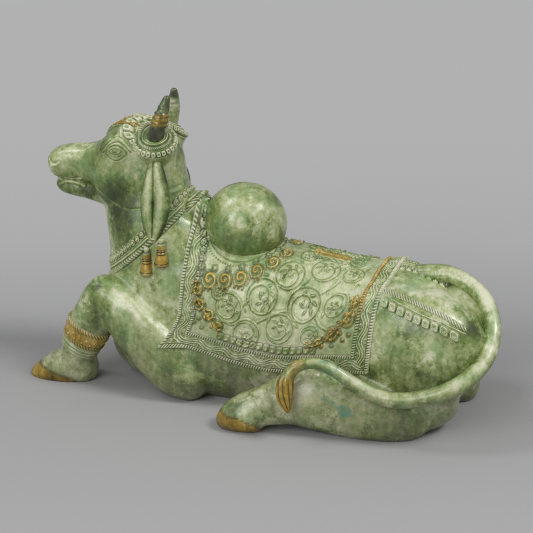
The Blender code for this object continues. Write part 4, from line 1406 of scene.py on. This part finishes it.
class Nodes:
    """A short way to write a material's nodes."""

    def __init__(self, name):
        self.material = bpy.data.materials.new(name)
        self.material.use_nodes = True
        self.tree = self.material.node_tree
        self.shader = self.tree.nodes["Principled BSDF"]

    def put(self, kind, inputs=(), **settings):
        node = self.tree.nodes.new(kind)
        for key, value in settings.items():
            setattr(node, key, value)
        for key, value in dict(inputs).items():
            self.feed(node, key, value)
        return node

    def feed(self, node, key, value):
        if isinstance(value, bpy.types.NodeSocket):
            self.tree.links.new(value, node.inputs[key])
        else:
            node.inputs[key].default_value = value

    def number(self, name):
        return self.put("ShaderNodeAttribute", attribute_name=name).outputs["Fac"]

    def math(self, operation, a, b=0.0, clamp=False):
        node = self.put("ShaderNodeMath", {0: a, 1: b}, operation=operation, use_clamp=clamp)
        return node.outputs[0]

    def add(self, a, b, clamp=False):
        return self.math("ADD", a, b, clamp)

    def times(self, a, b, clamp=False):
        return self.math("MULTIPLY", a, b, clamp)

    def blend(self, factor, a, b):
        node = self.put("ShaderNodeMix", {0: factor, 6: a, 7: b}, data_type="RGBA")
        return node.outputs[2]

    def noise(self, where, scale, detail=4.0, rough=0.55, distortion=0.0):
        node = self.put("ShaderNodeTexNoise", {"Vector": where, "Scale": scale, "Detail": detail,
                                               "Roughness": rough, "Distortion": distortion})
        return node.outputs["Fac"]

    def turned(self, where, scale, rotation):
        node = self.put("ShaderNodeMapping",
                        {"Vector": where, "Scale": scale, "Rotation": rotation})
        return node.outputs[0]

    def ramp(self, value, low, high, start=0.0, end=1.0):
        node = self.put("ShaderNodeMapRange", {0: value, 1: low, 2: high, 3: start, 4: end},
                        interpolation_type="SMOOTHSTEP")
        return node.outputs[0]

    def colours(self, value, stops):
        """A ramp through colours given as (place, red, green, blue), from 0 to 255."""
        node = self.put("ShaderNodeValToRGB", {0: value})
        ramp = node.color_ramp
        while len(ramp.elements) < len(stops):
            ramp.elements.new(0.5)
        for element, (place, *colour) in zip(ramp.elements, stops):
            element.position = place
            element.color = linear(*colour)
        return node.outputs[0]


def linear(red, green, blue):
    """A colour given in 0 to 255 as it is seen, for a shader."""
    return tuple(((c / 255 + 0.055) / 1.055) ** 2.4 if c > 10 else c / 255 / 12.92
                 for c in (red, green, blue)) + (1.0,)


# Colours of a tone from 0 to 1, as seen, and the tone of skin that nothing is laid on.
MIDDLE_TONE = 0.53
PATINA = [(0.1, 54, 64, 28), (0.3, 82, 98, 44), (0.47, 118, 138, 72), (0.62, 160, 172, 113),
          (0.8, 196, 202, 158), (1.0, 222, 222, 192)]
GILT = [(0.3, 70, 58, 18), (0.46, 138, 112, 36), (0.6, 188, 156, 60), (0.76, 224, 202, 126)]


def patina(name, contrast=1.0, base=0.0, gloss=0.3):
    """Waxed green patina over brass, washed with cream: the tone follows what tint() wrote."""
    n = Nodes(name)
    where = n.put("ShaderNodeTexCoord").outputs["Object"]
    pale, gold, dark, teal = (n.number(key) for key in ("pale", "gold", "dark", "teal"))
    cloud = n.noise(n.turned(where, (1.0, 1.0, 0.8), (0.0, 0.6, 0.3)), 19.0, 6.0, 0.62, 0.4)
    brush = n.noise(n.turned(where, (1.1, 0.8, 0.26), (0.5, 0.75, 0.0)), 90.0, 4.0, 0.6, 0.4)
    fine = n.noise(where, 240.0, 5.0, 0.7)
    scuffed = n.ramp(n.noise(where, 31.0, 8.0, 0.72), 0.54, 0.6)
    leaning = n.turned(where, (1.0, 1.0, 1.0), (1.0, 0.3, 0.0))
    stained = n.ramp(n.noise(leaning, 24.0, 8.0, 0.7), 0.56, 0.63)
    layers = [
        (cloud, 0.5, 1.05 * contrast), (brush, 0.5, 0.6 * contrast), (fine, 0.5, 0.7),
        (scuffed, 0.35, 0.22 * contrast), (stained, 0.3, -0.2 * contrast), (pale, 0.0, 0.4),
    ]
    tone = MIDDLE_TONE + base
    for layer, middle, weight in layers:
        tone = n.add(n.times(n.math("SUBTRACT", layer, middle), weight), tone)
    tone = n.add(tone, 0.0, clamp=True)
    colour = n.colours(tone, PATINA)

    # Dull dust near the ground, fresh green higher up, then pits and specks.
    height = n.put("ShaderNodeSeparateXYZ", {0: where}).outputs[2]
    dust = n.times(n.ramp(height, 0.085, 0.02), n.ramp(cloud, 0.35, 0.6, 0.2, 0.6))
    colour = n.blend(dust, colour, n.blend(tone, linear(88, 86, 58), linear(184, 178, 146)))
    clear = n.math("SUBTRACT", 0.55, n.times(dust, 0.7), clamp=True)
    fresh = n.times(n.ramp(n.noise(where, 42.0, 4.0, 0.6), 0.5, 0.62), clear)
    colour = n.blend(fresh, colour, n.blend(tone, linear(54, 84, 36), linear(134, 174, 102)))
    pitted = n.times(n.ramp(n.noise(where, 150.0, 6.0, 0.78), 0.57, 0.66), dust)
    specks = n.times(n.ramp(n.noise(where, 430.0, 4.0, 0.7), 0.6, 0.7), 0.5)
    colour = n.blend(n.add(specks, pitted, clamp=True), colour, linear(58, 60, 34))
    spots = n.ramp(n.times(teal, n.ramp(fine, 0.3, 0.62)), 0.3, 0.55)
    colour = n.blend(n.times(spots, 0.75), colour, linear(72, 132, 112))

    # Rubbed gilt on the crests, and painted shade in the gaps and holes, which also gives
    # the horns their own dark and the gilt of the hooves its dark edge.
    bare = n.times(gold, n.ramp(fine, 0.25, 0.5, 0.65, 1.0), clamp=True)
    shade = n.add(n.add(n.times(pale, 0.15), n.times(brush, 0.6)), n.times(fine, 0.45))
    colour = n.blend(bare, colour, n.colours(shade, GILT))
    # Colour of the painted shade in gaps and holes, and of the dark horn and hoof edges.
    gap_shade_and_dark_metal = n.blend(n.ramp(fine, 0.45, 0.75), linear(34, 33, 20), linear(84, 80, 54))
    n.feed(n.shader, "Base Color", n.blend(dark, colour, gap_shade_and_dark_metal))
    n.feed(n.shader, "Metallic", n.times(bare, 0.28))

    # Wax, thicker in some places, over small unevenness.
    patchy = n.noise(where, 52.0, 7.0, 0.72)
    n.feed(n.shader, "Roughness", n.ramp(patchy, 0.35, 0.65, gloss - 0.06, gloss + 0.18))
    n.feed(n.shader, "Coat Weight", n.ramp(patchy, 0.4, 0.6, 0.8, 0.25))
    n.feed(n.shader, "Coat Roughness", 0.75 * gloss - 0.02)
    pits = n.add(n.times(n.noise(where, 1100.0, 3.0, 0.6), 0.3), n.times(fine, 0.8))
    pits = n.add(pits, n.times(n.noise(where, 50.0, 2.0), 1.6))
    bumped = n.put("ShaderNodeBump", {"Height": pits, "Strength": 0.45, "Distance": 0.0006})
    n.feed(n.shader, "Normal", bumped.outputs[0])
    return n.material


def dress(obj, material, box, sharp=None):
    """Moves a finished piece into the frame, inside the part's box, and says what it stands for."""
    obj.data.transform(Matrix.Translation(Vector(FRAME_SHIFT) * MM))
    write_points(obj.data, np.clip(read_points(obj.data), *[np.array(corner) for corner in box]))
    obj.data.shade_smooth()
    if sharp:
        obj.data.set_sharp_from_angle(angle=math.radians(sharp))
    obj.data.materials.clear()
    obj.data.materials.append(material)
    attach(obj, "root")
    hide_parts("nandi_bull")


# Tone of the paper by how far it lies beyond the figure, in metres: place, grey. It is painted
# light: painted shade in a darker band just behind the figure, and paler paper further off.
PAPER_PAINTED_LIGHT = [(-0.25, 178), (-0.16, 174), (-0.02, 168), (0.07, 162), (0.124, 160), (0.21, 170),
         (0.39, 180), (0.6, 183), (0.87, 185)]
SUNS = [("right", (0.61, -0.07, 0.78), 1.14, 17), ("left", (-0.53, -0.15, 0.83), 0.44, 17),
        ("front", (-0.25, -0.8, 0.55), 1.1, 40)]


FLOOR_RADIUS = 9.0
AIR = (0.42, 0.42, 0.43, 1)
AIR_POWER = 0.75


def floor(turn):
    """A pale sheet whose grey changes with distance, as the camera sees it:
    its light and shade are painted on.
    """
    bm = bmesh.new()
    bmesh.ops.create_circle(bm, cap_ends=True, segments=96, radius=FLOOR_RADIUS)
    mesh = bpy.data.meshes.new("floor")
    bm.to_mesh(mesh)
    bm.free()
    paper = Nodes("paper")
    where = paper.put("ShaderNodeTexCoord").outputs["Object"]
    backwards = (-math.sin(turn), math.cos(turn), 0)
    away = paper.put("ShaderNodeVectorMath", {0: where, 1: backwards}, operation="DOT_PRODUCT")
    first, last = PAPER_PAINTED_LIGHT[0][0], PAPER_PAINTED_LIGHT[-1][0]
    along = paper.put("ShaderNodeMapRange", {0: away.outputs["Value"], 1: first, 2: last})
    stops = [((place - first) / (last - first), grey, grey, grey) for place, grey in PAPER_PAINTED_LIGHT]
    paper.feed(paper.shader, "Base Color", paper.colours(along.outputs[0], stops))
    paper.feed(paper.shader, "Roughness", 0.9)
    paper.feed(paper.shader, "Specular IOR Level", 0.1)
    mesh.materials.append(paper.material)
    link("floor", mesh)


def lights():
    """Even air and three wide soft suns."""
    world = bpy.data.worlds.new("studio")
    world.use_nodes = True
    background = world.node_tree.nodes["Background"]
    background.inputs[0].default_value = AIR
    background.inputs[1].default_value = AIR_POWER
    bpy.context.scene.world = world
    for name, towards, power, spread in SUNS:
        light = bpy.data.lights.new(name, "SUN")
        light.energy = power
        light.angle = math.radians(spread)
        link(name, light).rotation_euler = Vector(towards).to_track_quat("Z", "Y").to_euler()


def studio():
    """Floor, lights and the camera, which looks down on the near side, a little from the rear."""
    turn, tilt = math.radians(CAMERA_TURN), math.radians(CAMERA_TILT)
    floor(turn)
    lights()
    ahead = Vector((-math.sin(turn) * math.cos(tilt), math.cos(turn) * math.cos(tilt),
                    -math.sin(tilt)))
    target = Vector(CAMERA_TARGET) + Vector(FRAME_SHIFT)
    camera = bpy.data.cameras.new("camera")
    camera.sensor_fit = "HORIZONTAL"
    camera.angle = math.radians(CAMERA_VIEW)
    camera.clip_end = 50
    holder = link("camera", camera)
    holder.location = (target - ahead * CAMERA_DISTANCE) * MM
    holder.rotation_euler = ahead.to_track_quat("-Z", "Y").to_euler()
    scene = bpy.context.scene
    scene.camera = holder
    scene.view_settings.view_transform = "Standard"
    scene.cycles.filter_width = 1.1


def main():
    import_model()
    cad_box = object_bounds()
    studio()

    mass = as_bmesh(fuse("mass", [torso(), withers()] + quarters(), BODY_VOXEL, MASS_ROUNDS))
    under = fuse("under", [mass.copy(), neck(), near_foreleg()[0]], UNDER_VOXEL, CORE_ROUNDS)
    cloth_tree = surface(under)
    bpy.data.objects.remove(under)
    head = cut_head([mass.copy(), neck()])
    throat_parts = bmesh.new()
    for shape in (mass.copy(), neck()):
        add_into(throat_parts, shape)
    throat = BVHTree.FromBMesh(throat_parts)
    throat_parts.free()
    limbs = near_foreleg() + far_foreleg() + near_hindleg() + far_hindleg() + [tail_web()]
    low_neck = halve(neck(), COLLAR_CENTRE + COLLAR_NORMAL * 9, -COLLAR_NORMAL)
    body = fuse("body", [mass, low_neck] + limbs, BODY_VOXEL, CORE_ROUNDS)
    tuck(body, COLLAR_CENTRE + COLLAR_NORMAL * 2, COLLAR_NORMAL, 1.4, 4)

    skin = surface(body)
    head_tree = surface(head)
    carve_body(body, skin)
    carve_face(head, head_tree)
    along, across = CLOTH_CELLS
    chased = Relief(np.linspace(0, CLOTH_LENGTH, along), np.linspace(0, CLOTH_DROP, across),
                    flat=0.5, crest=-0.3)
    cloth_relief(chased)

    plain = patina("patina_skin")
    worked = patina("patina_chased", contrast=0.6, base=0.03, gloss=0.33)
    for obj in (head, hump(), tail(), ears(), horns()):
        dress(obj, plain, cad_box)
    dress(body, plain, cad_box, sharp=60)
    for sign in (-1, 1):
        dress(saddle_cloth(cloth_tree, chased, sign), worked, cad_box)
        dress(rump_garland(skin, sign), worked, cad_box)
        dress(horn_rings(head_tree, sign), worked, cad_box)
    for obj in (collar(throat), anklet(skin), crupper(skin), brow_band(head_tree), bells()):
        dress(obj, worked, cad_box)


main()
